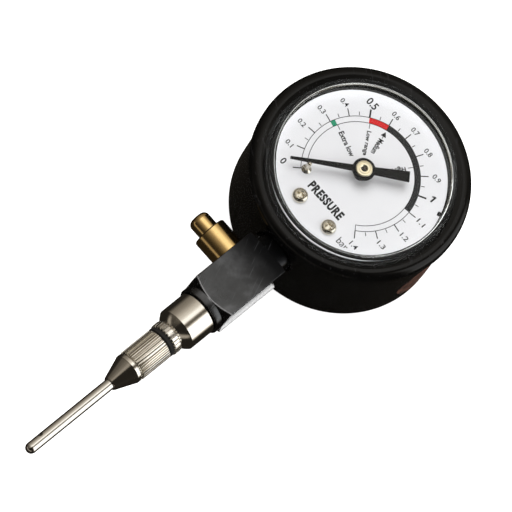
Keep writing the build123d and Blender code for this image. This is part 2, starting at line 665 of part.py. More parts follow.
# ---- manifold block: square bar turned down at both ends, bored for air, valve and adapter --------
BLOCK_SIZE = 10.2
BLOCK_START = 23.8
BLOCK_CONE_START = 37.9
BLOCK_CORNER_R = 8.0
BLOCK_END = 39.5
BOSS_R = 5.05
BOSS_END = 40.95
NECK_R = 4.4
SHOULDER = 19.25
VALVE_PORT_R = 2.95
ADAPTER_PORT_START = 34.8
with BuildPart() as manifold_block:
    with BuildSketch(NEEDLE.offset(BLOCK_START)):
        RectangleRounded(BLOCK_SIZE, BLOCK_SIZE, 0.3)
    extrude(amount=BLOCK_END - BLOCK_START)
    # turned cone at the needle end, light chamfer at the case end
    with BuildSketch(NEEDLE_PROFILE):
        with BuildLine():
            Polyline(
                (BLOCK_START, 0),
                (BLOCK_START, 6.6),
                (BLOCK_START + 0.4, BLOCK_CORNER_R),
                (BLOCK_CONE_START, BLOCK_CORNER_R),
                (BLOCK_END, BOSS_R + 0.03),
                (BLOCK_END, 0),
                close=True,
            )
        make_face()
    revolve(axis=NEEDLE_AXIS, mode=Mode.INTERSECT)
    # boss, neck and threaded end
    with BuildSketch(NEEDLE_PROFILE):
        with BuildLine():
            Polyline(
                (13.3, 0),
                (13.3, 2.7),
                (13.6, 3.0),
                (SHOULDER, 3.0),
                (SHOULDER, NECK_R),
                (BLOCK_START + 1, NECK_R),
                (BLOCK_START + 1, BOSS_R),
                (BOSS_END - 0.15, BOSS_R),
                (BOSS_END, BOSS_R - 0.15),
                (BOSS_END, 0),
                close=True,
            )
        make_face()
    revolve(axis=NEEDLE_AXIS)
    with BuildSketch(NEEDLE.offset(13.0)):
        Circle(0.9)
    extrude(amount=29, mode=Mode.SUBTRACT)
    with BuildSketch(NEEDLE.offset(ADAPTER_PORT_START)):
        Circle(2.45)
    extrude(amount=6.5, mode=Mode.SUBTRACT)
    with BuildSketch(VALVE.offset(1.4)):
        Circle(VALVE_PORT_R)
    extrude(amount=5.0, mode=Mode.SUBTRACT)
    with BuildSketch(VALVE):
        Circle(1.1)
    extrude(amount=2.0, mode=Mode.SUBTRACT)
manifold_block.part.label = "manifold_block"
export_step(manifold_block.part, "parts/manifold_block.step")

with BuildPart() as neck_washer:
    with BuildSketch(NEEDLE.offset(-SOCKET_FRONT_Y + 0.02)):
        Circle(4.2)
        Circle(3.1, mode=Mode.SUBTRACT)
    extrude(amount=SHOULDER + SOCKET_FRONT_Y - 0.04)
neck_washer.part.label = "neck_washer"
export_step(neck_washer.part, "parts/neck_washer.step")

# ---- release valve: threaded collar, press plunger, seal and return spring ------------------------
COLLAR_END = 10.85
COLLAR_R = 3.52
COLLAR_BORE_R = 2.28
COLLAR_SEAT = BLOCK_SIZE / 2 + 0.03
with BuildPart() as valve_collar:
    with BuildSketch(VALVE_PROFILE):
        with BuildLine():
            Polyline(
                (1.6, 2.2),
                (1.6, 2.9),
                (COLLAR_SEAT, 2.9),
                (COLLAR_SEAT, COLLAR_R),
                (COLLAR_END - 0.25, COLLAR_R),
                (COLLAR_END, COLLAR_R - 0.25),
                (COLLAR_END, COLLAR_BORE_R),
                (5.8, COLLAR_BORE_R),
                (5.8, 1.15),
                (4.8, 1.15),
                (4.8, 2.2),
                close=True,
            )
        make_face()
    revolve(axis=VALVE_AXIS)
valve_collar.part.label = "valve_collar"
export_step(valve_collar.part, "parts/valve_collar.step")

HEAD_R = 2.2
HEAD_END = 14.5
with BuildPart() as valve_plunger:
    with BuildSketch(VALVE_PROFILE):
        with BuildLine():
            Polyline(
                (HEAD_END, 0),
                (3.0, 0),
                (3.0, 1.4),
                (3.55, 1.4),
                (3.55, 0.8),
                (8.9, 0.8),
                (8.9, HEAD_R),
                (HEAD_END - 1.0, HEAD_R),
            )
            ThreePointArc((HEAD_END - 1.0, HEAD_R), (HEAD_END - 0.32, HEAD_R - 0.38), (HEAD_END, 1.1))
            Line((HEAD_END, 1.1), (HEAD_END, 0))
        make_face()
    revolve(axis=VALVE_AXIS)
valve_plunger.part.label = "valve_plunger"
export_step(valve_plunger.part, "parts/valve_plunger.step")

with BuildPart() as valve_seal:
    with BuildSketch(VALVE.offset(3.58)):
        Circle(1.8)
        Circle(0.84, mode=Mode.SUBTRACT)
    extrude(amount=1.18)
valve_seal.part.label = "valve_seal"
export_step(valve_seal.part, "parts/valve_seal.step")

with BuildPart() as valve_spring:
    with BuildLine() as coil:
        Helix(
            pitch=0.72,
            height=2.6,
            radius=1.6,
            center=(-6.05, VALVE_AXIS_Y, NEEDLE_AXIS_Z),
            direction=(-1, 0, 0),
        )
    with BuildSketch(Plane(origin=coil.line @ 0, z_dir=coil.line % 0)):
        Circle(0.17)
    sweep(is_frenet=True)
valve_spring.part.label = "valve_spring"
export_step(valve_spring.part, "parts/valve_spring.step")

# ---- adapter: round nickel-plated reducer in the end of the block ---------------------------------
ADAPTER_START = 41.2
ADAPTER_END = 48.6
ADAPTER_ROUND_START = 46.8
ADAPTER_R = 4.54
with BuildPart() as adapter_washer:
    with BuildSketch(NEEDLE.offset(BOSS_END + 0.02)):
        Circle(4.2)
        Circle(2.5, mode=Mode.SUBTRACT)
    extrude(amount=ADAPTER_START - BOSS_END - 0.04)
adapter_washer.part.label = "adapter_washer"
export_step(adapter_washer.part, "parts/adapter_washer.step")

with BuildPart() as adapter:
    with BuildSketch(NEEDLE_PROFILE):
        with BuildLine():
            Polyline(
                (ADAPTER_END, 2.05),
                (42.9, 2.05),
                (42.9, 0.9),
                (ADAPTER_PORT_START + 0.2, 0.9),
                (ADAPTER_PORT_START + 0.2, 2.4),
                (ADAPTER_START, 2.4),
                (ADAPTER_START, ADAPTER_R - 0.15),
                (ADAPTER_START + 0.15, ADAPTER_R),
                (ADAPTER_ROUND_START, ADAPTER_R),
            )
            ThreePointArc(
                (ADAPTER_ROUND_START, ADAPTER_R),
                (ADAPTER_END - 0.42, 4.22),
                (ADAPTER_END, 3.45),
            )
            Line((ADAPTER_END, 3.45), (ADAPTER_END, 2.05))
        make_face()
    revolve(axis=NEEDLE_AXIS)
adapter.part.label = "adapter"
export_step(adapter.part, "parts/adapter.step")

# ---- needle connector: knurled ring with a stud on each side --------------------------------------
RING_START = 48.68
RING_END = 50.38
RING_R = 3.5
REAR_STUD_START = 43.4
with BuildPart() as needle_connector:
    with BuildSketch(NEEDLE.offset(RING_START)):
        Polygon(*knurl_outline(RING_R, 0.28, 26), align=None)
    extrude(amount=RING_END - RING_START)
    with BuildSketch(NEEDLE_PROFILE):
        with BuildLine():
            Polyline(
                (RING_START, 0),
                (RING_START, RING_R - 0.25),
                (RING_START + 0.25, RING_R),
                (RING_END - 0.25, RING_R),
                (RING_END, RING_R - 0.25),
                (RING_END, 0),
                close=True,
            )
        make_face()
    revolve(axis=NEEDLE_AXIS, mode=Mode.INTERSECT)
    with BuildSketch(NEEDLE.offset(REAR_STUD_START)):
        Circle(2.0)
    extrude(amount=RING_START - REAR_STUD_START)
    with BuildSketch(NEEDLE.offset(RING_END)):
        Circle(1.72)
    extrude(amount=5.6)
    with BuildSketch(NEEDLE.offset(REAR_STUD_START - 0.5)):
        Circle(0.6)
    extrude(amount=15, mode=Mode.SUBTRACT)
needle_connector.part.label = "needle_connector"
export_step(needle_connector.part, "parts/needle_connector.step")

# ---- needle washer: rubber ring that seals the needle against the connector -----------------------
CHUCK_START = 51.4
with BuildPart() as needle_washer:
    with BuildSketch(NEEDLE_PROFILE):
        with Locations(((RING_END + CHUCK_START) / 2, 2.58)):
            RectangleRounded(CHUCK_START - RING_END - 0.08, 1.44, 0.25)
    revolve(axis=NEEDLE_AXIS)
needle_washer.part.label = "needle_washer"
export_step(needle_washer.part, "parts/needle_washer.step")

# ---- needle chuck: knurled grip, smooth band and cone ----------------------------------------------
KNURL_END = 58.75
CONE_START = 59.95
CHUCK_END = 64.5
CHUCK_R = 3.27
CHUCK_BAND_R = 3.2
TUBE_ROOT_R = 0.95
TUBE_START = 58.7
with BuildPart() as needle_chuck:
    with BuildSketch(NEEDLE.offset(CHUCK_START)):
        Polygon(*knurl_outline(CHUCK_R, 0.2, 38), align=None)
    extrude(amount=KNURL_END - CHUCK_START)
    with BuildSketch(NEEDLE_PROFILE):
        with BuildLine():
            Polyline(
                (CHUCK_START, 0),
                (CHUCK_START, CHUCK_R - 0.3),
                (CHUCK_START + 0.3, CHUCK_R),
                (KNURL_END - 0.2, CHUCK_R),
                (KNURL_END, CHUCK_R - 0.2),
                (KNURL_END, 0),
                close=True,
            )
        make_face()
    revolve(axis=NEEDLE_AXIS, mode=Mode.INTERSECT)
    with BuildSketch(NEEDLE_PROFILE):
        with BuildLine():
            Polyline(
                (KNURL_END - 0.5, 0),
                (KNURL_END - 0.5, 2.9),
                (KNURL_END + 0.1, 2.95),
                (KNURL_END + 0.3, CHUCK_BAND_R),
                (CONE_START - 0.2, CHUCK_BAND_R),
                (CONE_START, CHUCK_BAND_R - 0.06),
                (CHUCK_END - 0.15, 1.5),
                (CHUCK_END, 1.3),
                (CHUCK_END, 0),
                close=True,
            )
        make_face()
    revolve(axis=NEEDLE_AXIS)
    with BuildSketch(NEEDLE.offset(CHUCK_START - 0.5)):
        Circle(1.8)
    extrude(amount=6.2, mode=Mode.SUBTRACT)
    with BuildSketch(NEEDLE.offset(56.2)):
        Circle(0.7)
    extrude(amount=3.0, mode=Mode.SUBTRACT)
    with BuildSketch(NEEDLE.offset(TUBE_START - 0.05)):
        Circle(TUBE_ROOT_R + 0.02)
    extrude(amount=7.0, mode=Mode.SUBTRACT)
needle_chuck.part.label = "needle_chuck"
export_step(needle_chuck.part, "parts/needle_chuck.step")

# ---- needle tube: thin hollow tube with a round nose and a side hole -------------------------------
TUBE_SHOULDER = CHUCK_END + 0.05
NEEDLE_R = 1.16
NEEDLE_BORE_R = 0.62
NOSE_END = 86.05
BORE_END = 83.4
SIDE_HOLE = 82.0
SIDE = Plane(
    origin=(0, -SIDE_HOLE, NEEDLE_AXIS_Z),
    x_dir=(0, -1, 0),
    z_dir=(-1, 0, 1),
)
with BuildPart() as needle_tube:
    with BuildSketch(NEEDLE_PROFILE):
        with BuildLine():
            Polyline(
                (NOSE_END, 0),
                (BORE_END, 0),
                (BORE_END, NEEDLE_BORE_R),
                (TUBE_START, NEEDLE_BORE_R),
                (TUBE_START, TUBE_ROOT_R),
                (TUBE_SHOULDER, TUBE_ROOT_R),
                (TUBE_SHOULDER, NEEDLE_R),
                (NOSE_END - NEEDLE_R, NEEDLE_R),
            )
            RadiusArc((NOSE_END - NEEDLE_R, NEEDLE_R), (NOSE_END, 0), NEEDLE_R)
        make_face()
    revolve(axis=NEEDLE_AXIS)
    with BuildSketch(SIDE):
        Circle(0.48)
    extrude(amount=3, mode=Mode.SUBTRACT)
needle_tube.part.label = "needle_tube"
export_step(needle_tube.part, "parts/needle_tube.step")
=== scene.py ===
"""Ball pressure gauge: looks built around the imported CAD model.

Row frame in metres: +Z out of the dial, the needle points along -Y, the release valve along -X.
Pieces are meshed in code in millimetres and scaled once. Clock angles: 0 is +Y, 90 is +X.
"""

import math

import bmesh
import bpy
from mathutils import Matrix, Vector


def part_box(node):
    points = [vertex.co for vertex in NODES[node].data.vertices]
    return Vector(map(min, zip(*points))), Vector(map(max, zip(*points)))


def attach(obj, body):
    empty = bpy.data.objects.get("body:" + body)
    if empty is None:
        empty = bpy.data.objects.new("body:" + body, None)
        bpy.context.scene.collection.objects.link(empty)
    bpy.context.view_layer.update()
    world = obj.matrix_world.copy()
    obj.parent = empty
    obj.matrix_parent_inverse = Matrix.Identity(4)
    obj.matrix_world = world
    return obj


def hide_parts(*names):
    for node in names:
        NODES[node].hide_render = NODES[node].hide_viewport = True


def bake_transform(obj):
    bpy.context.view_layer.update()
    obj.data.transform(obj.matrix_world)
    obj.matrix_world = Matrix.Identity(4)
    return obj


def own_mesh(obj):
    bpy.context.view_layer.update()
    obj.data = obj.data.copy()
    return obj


MM = 0.001
TAU = 2 * math.pi

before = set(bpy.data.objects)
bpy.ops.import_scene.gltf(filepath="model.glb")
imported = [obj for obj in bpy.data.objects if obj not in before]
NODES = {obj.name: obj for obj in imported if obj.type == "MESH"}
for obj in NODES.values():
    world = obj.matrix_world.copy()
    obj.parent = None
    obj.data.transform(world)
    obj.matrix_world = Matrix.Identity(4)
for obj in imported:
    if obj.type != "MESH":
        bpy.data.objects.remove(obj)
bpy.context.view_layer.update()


def size_mm(node):
    """Lowest and highest corner of a CAD node, in millimetres."""
    low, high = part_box(node)
    return low / MM, high / MM


# ---- measures in millimetres ---------------------------------------------------------------
FACE = size_mm("dial")[1].z
chuck_low, chuck_high = size_mm("needle_chuck")
AXIS_Z = (chuck_low.z + chuck_high.z) / 2
valve_low, valve_high = size_mm("valve_collar")
VALVE_Y = (valve_low.y + valve_high.y) / 2

BORE_R = 0.9
BLOCK_HALF = 5.1
BLOCK_EDGE = 0.3
BLOCK_START, BLOCK_END = 23.8, 39.5
BOSS_R = 5.05
# the cone turned on the block's end, and the bevel where it meets the flats
CONE_START, CONE_R = 37.9, 8.0
CONE_SLOPE = (CONE_R - BOSS_R - 0.03) / (BLOCK_END - CONE_START)
BEVEL = 0.13
FRONT_R, FRONT_SLOPE = 6.6, 0.4 / 1.4
ADAPTER_R = 4.54
RING_R, RING_CUT, RING_RIDGES = 3.5, 0.5, 28
GRIP_R, GRIP_CUT, GRIP_RIDGES = 3.25, 0.32, 40
STUD_R = 1.72
THREAD_PITCH = 0.8
VENT_CLOCK = 88.0
# the window's dome ends at the first radius, and its wall's inner face lies within the second
DOME_R, WALL_INSIDE_R, WALL_FOOT = 17.3, 18.0, 0.9


def clock(radius, degrees):
    """Point on the dial, in millimetres."""
    a = math.radians(degrees)
    return radius * math.sin(a), radius * math.cos(a)


def on_dial(along, radius, turn):
    """Place of a point about the dial's axis, from its height, radius and turn."""
    return Vector((radius * math.cos(turn), radius * math.sin(turn), along))


def on_needle(along, radius, turn):
    """Place of a point about the needle's axis."""
    return Vector((radius * math.sin(turn), -along, AXIS_Z + radius * math.cos(turn)))


def on_valve(along, radius, turn):
    """Place of a point about the release valve's axis."""
    return Vector((-along, VALVE_Y - radius * math.sin(turn), AXIS_Z + radius * math.cos(turn)))


# ---- mesh helpers ---------------------------------------------------------------------------
def finish_mesh(mesh, name, body, material, angle=32):
    """Turns a bmesh in millimetres into a piece that rides on a body, if one is named."""
    bmesh.ops.remove_doubles(mesh, verts=mesh.verts, dist=1e-5)
    bmesh.ops.recalc_face_normals(mesh, faces=mesh.faces)
    bmesh.ops.scale(mesh, vec=(MM, MM, MM), verts=mesh.verts)
    data = bpy.data.meshes.new(name)
    mesh.to_mesh(data)
    mesh.free()
    data.polygons.foreach_set("use_smooth", [True] * len(data.polygons))
    data.set_sharp_from_angle(angle=math.radians(angle))
    data.materials.append(material)
    piece = bpy.data.objects.new(name, data)
    bpy.context.scene.collection.objects.link(piece)
    if body:
        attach(piece, body)
    return piece


def skin(mesh, rings, closed=False):
    """Faces between rings of points. A ring of one point is a tip. Open ends are capped."""
    rows = [[mesh.verts.new(p) for p in ring] for ring in rings]
    pairs = list(zip(rows, rows[1:]))
    if closed:
        pairs.append((rows[-1], rows[0]))
    for a, b in pairs:
        count = max(len(a), len(b))
        for i in range(count):
            j = (i + 1) % count
            if len(a) == 1:
                mesh.faces.new((a[0], b[i], b[j]))
            elif len(b) == 1:
                mesh.faces.new((a[i], b[0], a[j]))
            else:
                mesh.faces.new((a[i], b[i], b[j], a[j]))
    if not closed:
        for row in (rows[0], rows[-1]):
            if len(row) > 2:
                mesh.faces.new(row)


ROUND_STEPS = 192
ROUND = [(TAU * i / ROUND_STEPS, 0.0) for i in range(ROUND_STEPS)]


def knurl(ridges, shape):
    """Turns round a knurl, each with its share of the cut. A ridge's shape is (phase, share) pairs."""
    return [(TAU * (i + phase) / ridges, share) for i in range(ridges) for phase, share in shape]


def thread(start, end, radius, depth, pitch):
    """Stations of a screw thread, from start to end along its axis."""
    count = round(abs(end - start) / pitch * 8)
    return [(start + (end - start) * i / count, radius, depth, pitch) for i in range(count + 1)]


def turned_mesh(place, profile, around=ROUND, closed=False):
    """Turned piece. A profile point is (along, radius), then a knurl's depth, then a thread's pitch."""
    mesh = bmesh.new()
    rings = []
    for along, radius, *more in profile:
        cut = more[0] if more else 0.0
        if radius < 1e-6:
            rings.append([place(along, 0, 0)])
            continue
        ring = []
        for turn, share in around:
            if len(more) > 1:
                share = abs(2 * ((along / more[1] - turn / TAU) % 1) - 1)
            ring.append(place(along, radius - cut * share, turn))
        rings.append(ring)
    skin(mesh, rings, closed)
    return mesh


def drilled(piece, cutter):
    """Cuts a hole in a piece with a second bmesh, in millimetres."""
    bmesh.ops.recalc_face_normals(cutter, faces=cutter.faces)
    bmesh.ops.scale(cutter, vec=(MM, MM, MM), verts=cutter.verts)
    data = bpy.data.meshes.new("cutter")
    cutter.to_mesh(data)
    cutter.free()
    tool = bpy.data.objects.new("cutter", data)
    bpy.context.scene.collection.objects.link(tool)
    hole = piece.modifiers.new("hole", "BOOLEAN")
    hole.operation = "DIFFERENCE"
    hole.solver = "EXACT"
    hole.object = tool
    bpy.context.view_layer.update()
    graph = bpy.context.evaluated_depsgraph_get()
    result = bpy.data.meshes.new_from_object(piece.evaluated_get(graph))
    piece.modifiers.clear()
    piece.data = result
    bpy.data.objects.remove(tool)
    bpy.data.meshes.remove(data)


# ---- materials -------------------------------------------------------------------------------
class Graph:
    """A node tree with short ways to add nodes and join them."""

    def __init__(self, tree):
        self.tree = tree
        tree.nodes.clear()

    def put(self, socket, value):
        """Links a socket, or sets a number or a colour on it."""
        if isinstance(value, bpy.types.NodeSocket):
            self.tree.links.new(value, socket)
        elif isinstance(value, tuple) and socket.type == "RGBA":
            socket.default_value = (*value, 1)
        else:
            socket.default_value = value

    def node(self, kind, **inputs):
        """Adds a node with its inputs by name, where _ stands for a space."""
        node = self.tree.nodes.new(kind)
        for name, value in inputs.items():
            self.put(node.inputs[name.replace("_", " ")], value)
        return node

    def math(self, operation, *values):
        node = self.node("ShaderNodeMath")
        node.operation = operation
        for socket, value in zip(node.inputs, values):
            self.put(socket, value)
        return node.outputs[0]

    def ramp(self, value, stops):
        """Colour ramp whose stops are (position, grey or colour), in rising order."""
        ramp = self.node("ShaderNodeValToRGB", Fac=value)
        elements = ramp.color_ramp.elements
        elements.remove(elements[1])
        for index, (position, colour) in enumerate(stops):
            if isinstance(colour, (int, float)):
                colour = (colour, colour, colour)
            stop = elements.new(position) if index else elements[0]
            stop.position = position
            stop.color = (*colour, 1)
        return ramp.outputs[0]

    def mix_shaders(self, factor, a, b):
        node = self.node("ShaderNodeMixShader")
        for socket, value in zip(node.inputs, (factor, a, b)):
            self.put(socket, value)
        return node.outputs[0]


class Paint(Graph):
    """A node material on one Principled shader, with its textures in millimetres."""

    def __init__(self, name, **constants):
        self.material = bpy.data.materials.new(name)
        self.material.use_nodes = True
        super().__init__(self.material.node_tree)
        self.shader = self.node("ShaderNodeBsdfPrincipled", **constants)
        self.node("ShaderNodeOutputMaterial", Surface=self.shader.outputs[0])
        coordinates = self.node("ShaderNodeTexCoord")
        self.place = coordinates.outputs["Object"]
        self.facing = coordinates.outputs["Normal"]

    def split(self, vector):
        return self.node("ShaderNodeSeparateXYZ", Vector=vector).outputs

    def scaled(self, scale):
        scale = [s / MM for s in scale]
        return self.node("ShaderNodeMapping", Vector=self.place, Scale=scale).outputs[0]

    def noise(self, scale, detail=4.0, roughness=0.6, distortion=0.0):
        """Noise whose scale is in waves per millimetre along each axis."""
        return self.node("ShaderNodeTexNoise", Vector=self.scaled(scale), Scale=1.0, Detail=detail,
                         Roughness=roughness, Distortion=distortion).outputs["Fac"]

    def mix(self, factor, a, b):
        node = self.node("ShaderNodeMix")
        node.data_type = "RGBA"
        for index, value in ((0, factor), (6, a), (7, b)):
            self.put(node.inputs[index], value)
        return node.outputs[2]

    def colour(self, socket):
        self.put(self.shader.inputs["Base Color"], socket)

    def rough(self, socket):
        self.put(self.shader.inputs["Roughness"], socket)

    def bump(self, height, distance):
        """Bump from a height of 0 to 1, with its full depth in millimetres, over any bump before it."""
        bump = self.node("ShaderNodeBump", Strength=1.0, Distance=distance * MM, Height=height)
        last = self.shader.inputs["Normal"]
        if last.links:
            self.put(bump.inputs["Normal"], last.links[0].from_socket)
        self.put(last, bump.outputs[0])

    def scratches(self, angle, length, density, width):
        """Thin straight scratches: 1 on a scratch and 0 elsewhere."""
        turned = self.node("ShaderNodeMapping", Vector=self.place, Rotation=angle).outputs[0]
        scale = (1 / (length * MM), density / MM, density / MM)
        drawn = self.node("ShaderNodeMapping", Vector=turned, Scale=scale).outputs[0]
        noise = self.node("ShaderNodeTexNoise", Vector=drawn, Scale=1.0, Detail=1.0)
        return self.ramp(noise.outputs["Fac"], [(0.66, 0.0), (0.66 + width, 1.0)])


def gloss_black():
    p = Paint("gloss_black", Specular_IOR_Level=0.2)
    cloud = p.noise((0.25, 0.25, 0.25))
    grain = p.noise((1.2, 1.2, 1.2), 3)
    scratch = p.scratches((0.3, 0.2, 0.7), 9, 1.6, 0.08)
    p.colour(p.mix(scratch, p.ramp(cloud, [(0.3, 0.0015), (0.75, 0.0035)]), (0.011, 0.011, 0.012)))
    p.rough(p.math("ADD", p.ramp(cloud, [(0.3, 0.10), (0.8, 0.17)]), p.math("MULTIPLY", grain, 0.05)))
    p.bump(grain, 0.002)
    p.bump(scratch, -0.002)
    return p.material


def painted_edge_highlight(p):
    """Painted highlight: 1 along the curved edge where the block's cone meets its flats, patchy, and 0
    elsewhere.
    """
    x, y, z = p.split(p.place)
    up = p.math("SUBTRACT", z, AXIS_Z * MM)
    reach = p.math("SQRT", p.math("ADD", p.math("MULTIPLY", x, x), p.math("MULTIPLY", up, up)))
    edge = p.math("MULTIPLY", p.math("SUBTRACT", reach, CONE_R * MM), -1 / CONE_SLOPE)
    along = p.math("SUBTRACT", p.math("MULTIPLY", y, -1.0), CONE_START * MM)
    off = p.math("ABSOLUTE", p.math("SUBTRACT", along, edge))
    line = p.ramp(p.math("MULTIPLY", off, 1 / MM), [(0.08, 1.0), (0.26, 0.0)])
    # only the outer flats: a ramp over centimetres that starts just inside BLOCK_HALF
    out = p.math("MAXIMUM", p.math("ABSOLUTE", x), p.math("ABSOLUTE", up))
    outer = p.ramp(p.math("MULTIPLY", out, 0.1 / MM), [(0.502, 0.0), (0.506, 1.0)])
    patch = p.ramp(p.noise((0.8, 0.8, 0.8), 3), [(0.3, 0.35), (0.55, 1.0)])
    return p.math("MULTIPLY", p.math("MULTIPLY", line, outer), patch)


def satin_black():
    """Block paint: dusty and scratched on top, with a painted highlight along the cone's edge, and painted
    shade that darkens its colour and the tint of its reflection by the case.
    """
    p = Paint("satin_black", Specular_IOR_Level=0.8)
    cloud = p.noise((0.2, 0.2, 0.2), 5, 0.6)
    grain = p.noise((7, 7, 7), 4)
    scratch = p.scratches((0.0, 0.0, 1.15), 7, 2.6, 0.08)
    chip = p.ramp(p.noise((3.5, 3.5, 3.5), 3), [(0.74, 0.0), (0.80, 1.0)])
    clean = (0.001, 0.001, 0.001)
    dust = p.ramp(cloud, [(0.36, clean), (0.5, (0.016, 0.016, 0.017)), (0.66, (0.060, 0.061, 0.064))])
    # distance from the dial's centre as a share of 45 mm, and how far a face looks up
    along = p.math("MULTIPLY", p.split(p.place)[1], -1 / (45 * MM))
    # painted shade: 0 by the case and 1 towards the needle; near the case it keeps the top dark and tints
    # the reflection dark
    shade_by_case = p.ramp(along, [(0.56, 0.04), (0.74, 0.9), (0.88, 1.0)])
    upward = p.ramp(p.split(p.facing)[2], [(0.6, 0.0), (0.95, 1.0)])
    # dust on faces that look up, held off near the case by the painted shade
    base = p.mix(p.math("MULTIPLY", shade_by_case, upward), clean, dust)
    marked = p.mix(p.math("MAXIMUM", scratch, chip), base, (0.045, 0.047, 0.05))
    # painted highlight: a light grey line along the edge where the cone meets the flats
    p.colour(p.mix(painted_edge_highlight(p), marked, (0.24, 0.24, 0.25)))
    # painted shade: the reflection's tint goes dark near the case
    p.put(p.shader.inputs["Specular Tint"], p.mix(shade_by_case, (0.16, 0.17, 0.20), (0.93, 0.96, 1.0)))
    worn = p.ramp(along, [(0.55, 0.62), (0.68, 0.30), (0.86, 0.22)])
    top = p.math("ADD", worn, p.ramp(cloud, [(0.35, 0.0), (0.7, 0.12)]))
    p.rough(p.math("ADD", p.mix(upward, (0.13, 0.13, 0.13), top), p.math("MULTIPLY", grain, 0.04)))
    p.bump(p.math("MULTIPLY", grain, upward), 0.003)
    p.bump(p.math("MULTIPLY", scratch, upward), -0.002)
    return p.material


def plated(name, light, dark, roughness, lines):
    """Bright plating over turned metal: lines is the tool marks' scale along each axis."""
    p = Paint(name, Metallic=1.0)
    cloud = p.noise((0.3, 0.3, 0.3), 5)
    speck = p.noise((3.5, 3.5, 3.5), 4, 0.7)
    mark = p.noise(lines, 3, 0.7)
    stain = p.ramp(speck, [(0.62, 0.0), (0.78, 1.0)])
    base = p.ramp(cloud, [(0.3, light), (0.72, tuple(0.9 * c for c in light))])
    p.colour(p.mix(stain, base, dark))
    low, high = roughness
    p.rough(p.math("ADD", p.ramp(mark, [(0.3, low), (0.8, high)]), p.math("MULTIPLY", stain, 0.12)))
    p.bump(mark, 0.004)
    return p.material


def rubber(name, light, dark, roughness=0.7):
    p = Paint(name, Specular_IOR_Level=0.35)
    cloud = p.noise((0.6, 0.6, 0.6), 5)
    grain = p.noise((7, 7, 7), 5, 0.7)
    p.colour(p.ramp(cloud, [(0.3, dark), (0.7, light)]))
    p.rough(p.ramp(grain, [(0.2, roughness - 0.1), (0.8, roughness + 0.12)]))
    p.bump(grain, 0.02)
    return p.material


def enamel():
    p = Paint("dial_enamel", Specular_IOR_Level=0.4)
    cloud = p.noise((0.12, 0.12, 0.12), 3)
    grain = p.noise((14, 14, 14), 3)
    p.colour(p.ramp(cloud, [(0.25, (0.79, 0.79, 0.835)), (0.75, (0.83, 0.83, 0.87))]))
    p.rough(p.ramp(grain, [(0.2, 0.4), (0.8, 0.55)]))
    p.bump(grain, 0.002)
    return p.material


def ink(name, colour, worn, specular=0.25):
    p = Paint(name, Specular_IOR_Level=specular)
    grain = p.noise((8, 8, 8), 4, 0.7)
    p.colour(p.ramp(grain, [(0.3, colour), (0.85, worn)]))
    p.rough(p.ramp(grain, [(0.2, 0.35), (0.8, 0.55)]))
    p.bump(grain, 0.003)
    return p.material


def clear_plastic():
    """Clear moulding: a thin dome seen straight through, and a thick upright wall that bends the view."""
    material = bpy.data.materials.new("clear_acrylic")
    material.use_nodes = True
    g = Graph(material.node_tree)
    place = g.node("ShaderNodeTexCoord").outputs["Object"]
    haze = g.node("ShaderNodeTexNoise", Vector=place, Scale=900.0, Detail=3.0).outputs["Fac"]
    finish = {
        "Roughness": g.node("ShaderNodeMapRange", Value=haze, To_Min=0.02, To_Max=0.09).outputs[0],
        "Normal": g.node("ShaderNodeBump", Height=haze, Distance=0.002 * MM).outputs[0],
    }
    through = g.node("ShaderNodeBsdfTransparent", Color=(0.985, 0.99, 0.99)).outputs[0]

    # dome: a little gloss that grows at a slant
    gloss = g.node("ShaderNodeBsdfGlossy", Color=(0.9, 0.92, 0.93), **finish).outputs[0]
    slant = g.node("ShaderNodeFresnel", IOR=1.45).outputs[0]
    dome = g.mix_shaders(g.math("MULTIPLY", slant, 0.14), through, gloss)

    # wall: only its inner faces, seen from within the plastic, also reflect
    plastic = {"IOR": 1.49, "Color": (0.97, 0.98, 0.98), **finish}
    bent = g.node("ShaderNodeBsdfRefraction", **plastic).outputs[0]
    reflecting = g.node("ShaderNodeBsdfGlass", **plastic).outputs[0]
    flat = g.node("ShaderNodeVectorMath")
    flat.operation = "MULTIPLY"
    g.put(flat.inputs[0], place)
    flat.inputs[1].default_value = (1, 1, 0)
    length = g.node("ShaderNodeVectorMath", Vector=flat.outputs[0])
    length.operation = "LENGTH"
    radius = length.outputs["Value"]
    height = g.node("ShaderNodeSeparateXYZ", Vector=place).outputs[2]
    inner = g.math("MULTIPLY", g.math("LESS_THAN", radius, WALL_INSIDE_R * MM),
                   g.math("GREATER_THAN", height, (FACE + WALL_FOOT) * MM))
    within = g.node("ShaderNodeNewGeometry").outputs["Backfacing"]
    wall = g.mix_shaders(g.math("MULTIPLY", inner, within), bent, reflecting)
    milk = g.node("ShaderNodeBsdfDiffuse", Color=(0.55, 0.56, 0.56)).outputs[0]
    wall = g.mix_shaders(0.015, wall, milk)
    shadow = g.node("ShaderNodeLightPath").outputs["Is Shadow Ray"]
    wall = g.mix_shaders(shadow, wall, through)

    outside = g.math("GREATER_THAN", radius, DOME_R * MM)
    g.node("ShaderNodeOutputMaterial", Surface=g.mix_shaders(outside, dome, wall))
    return material


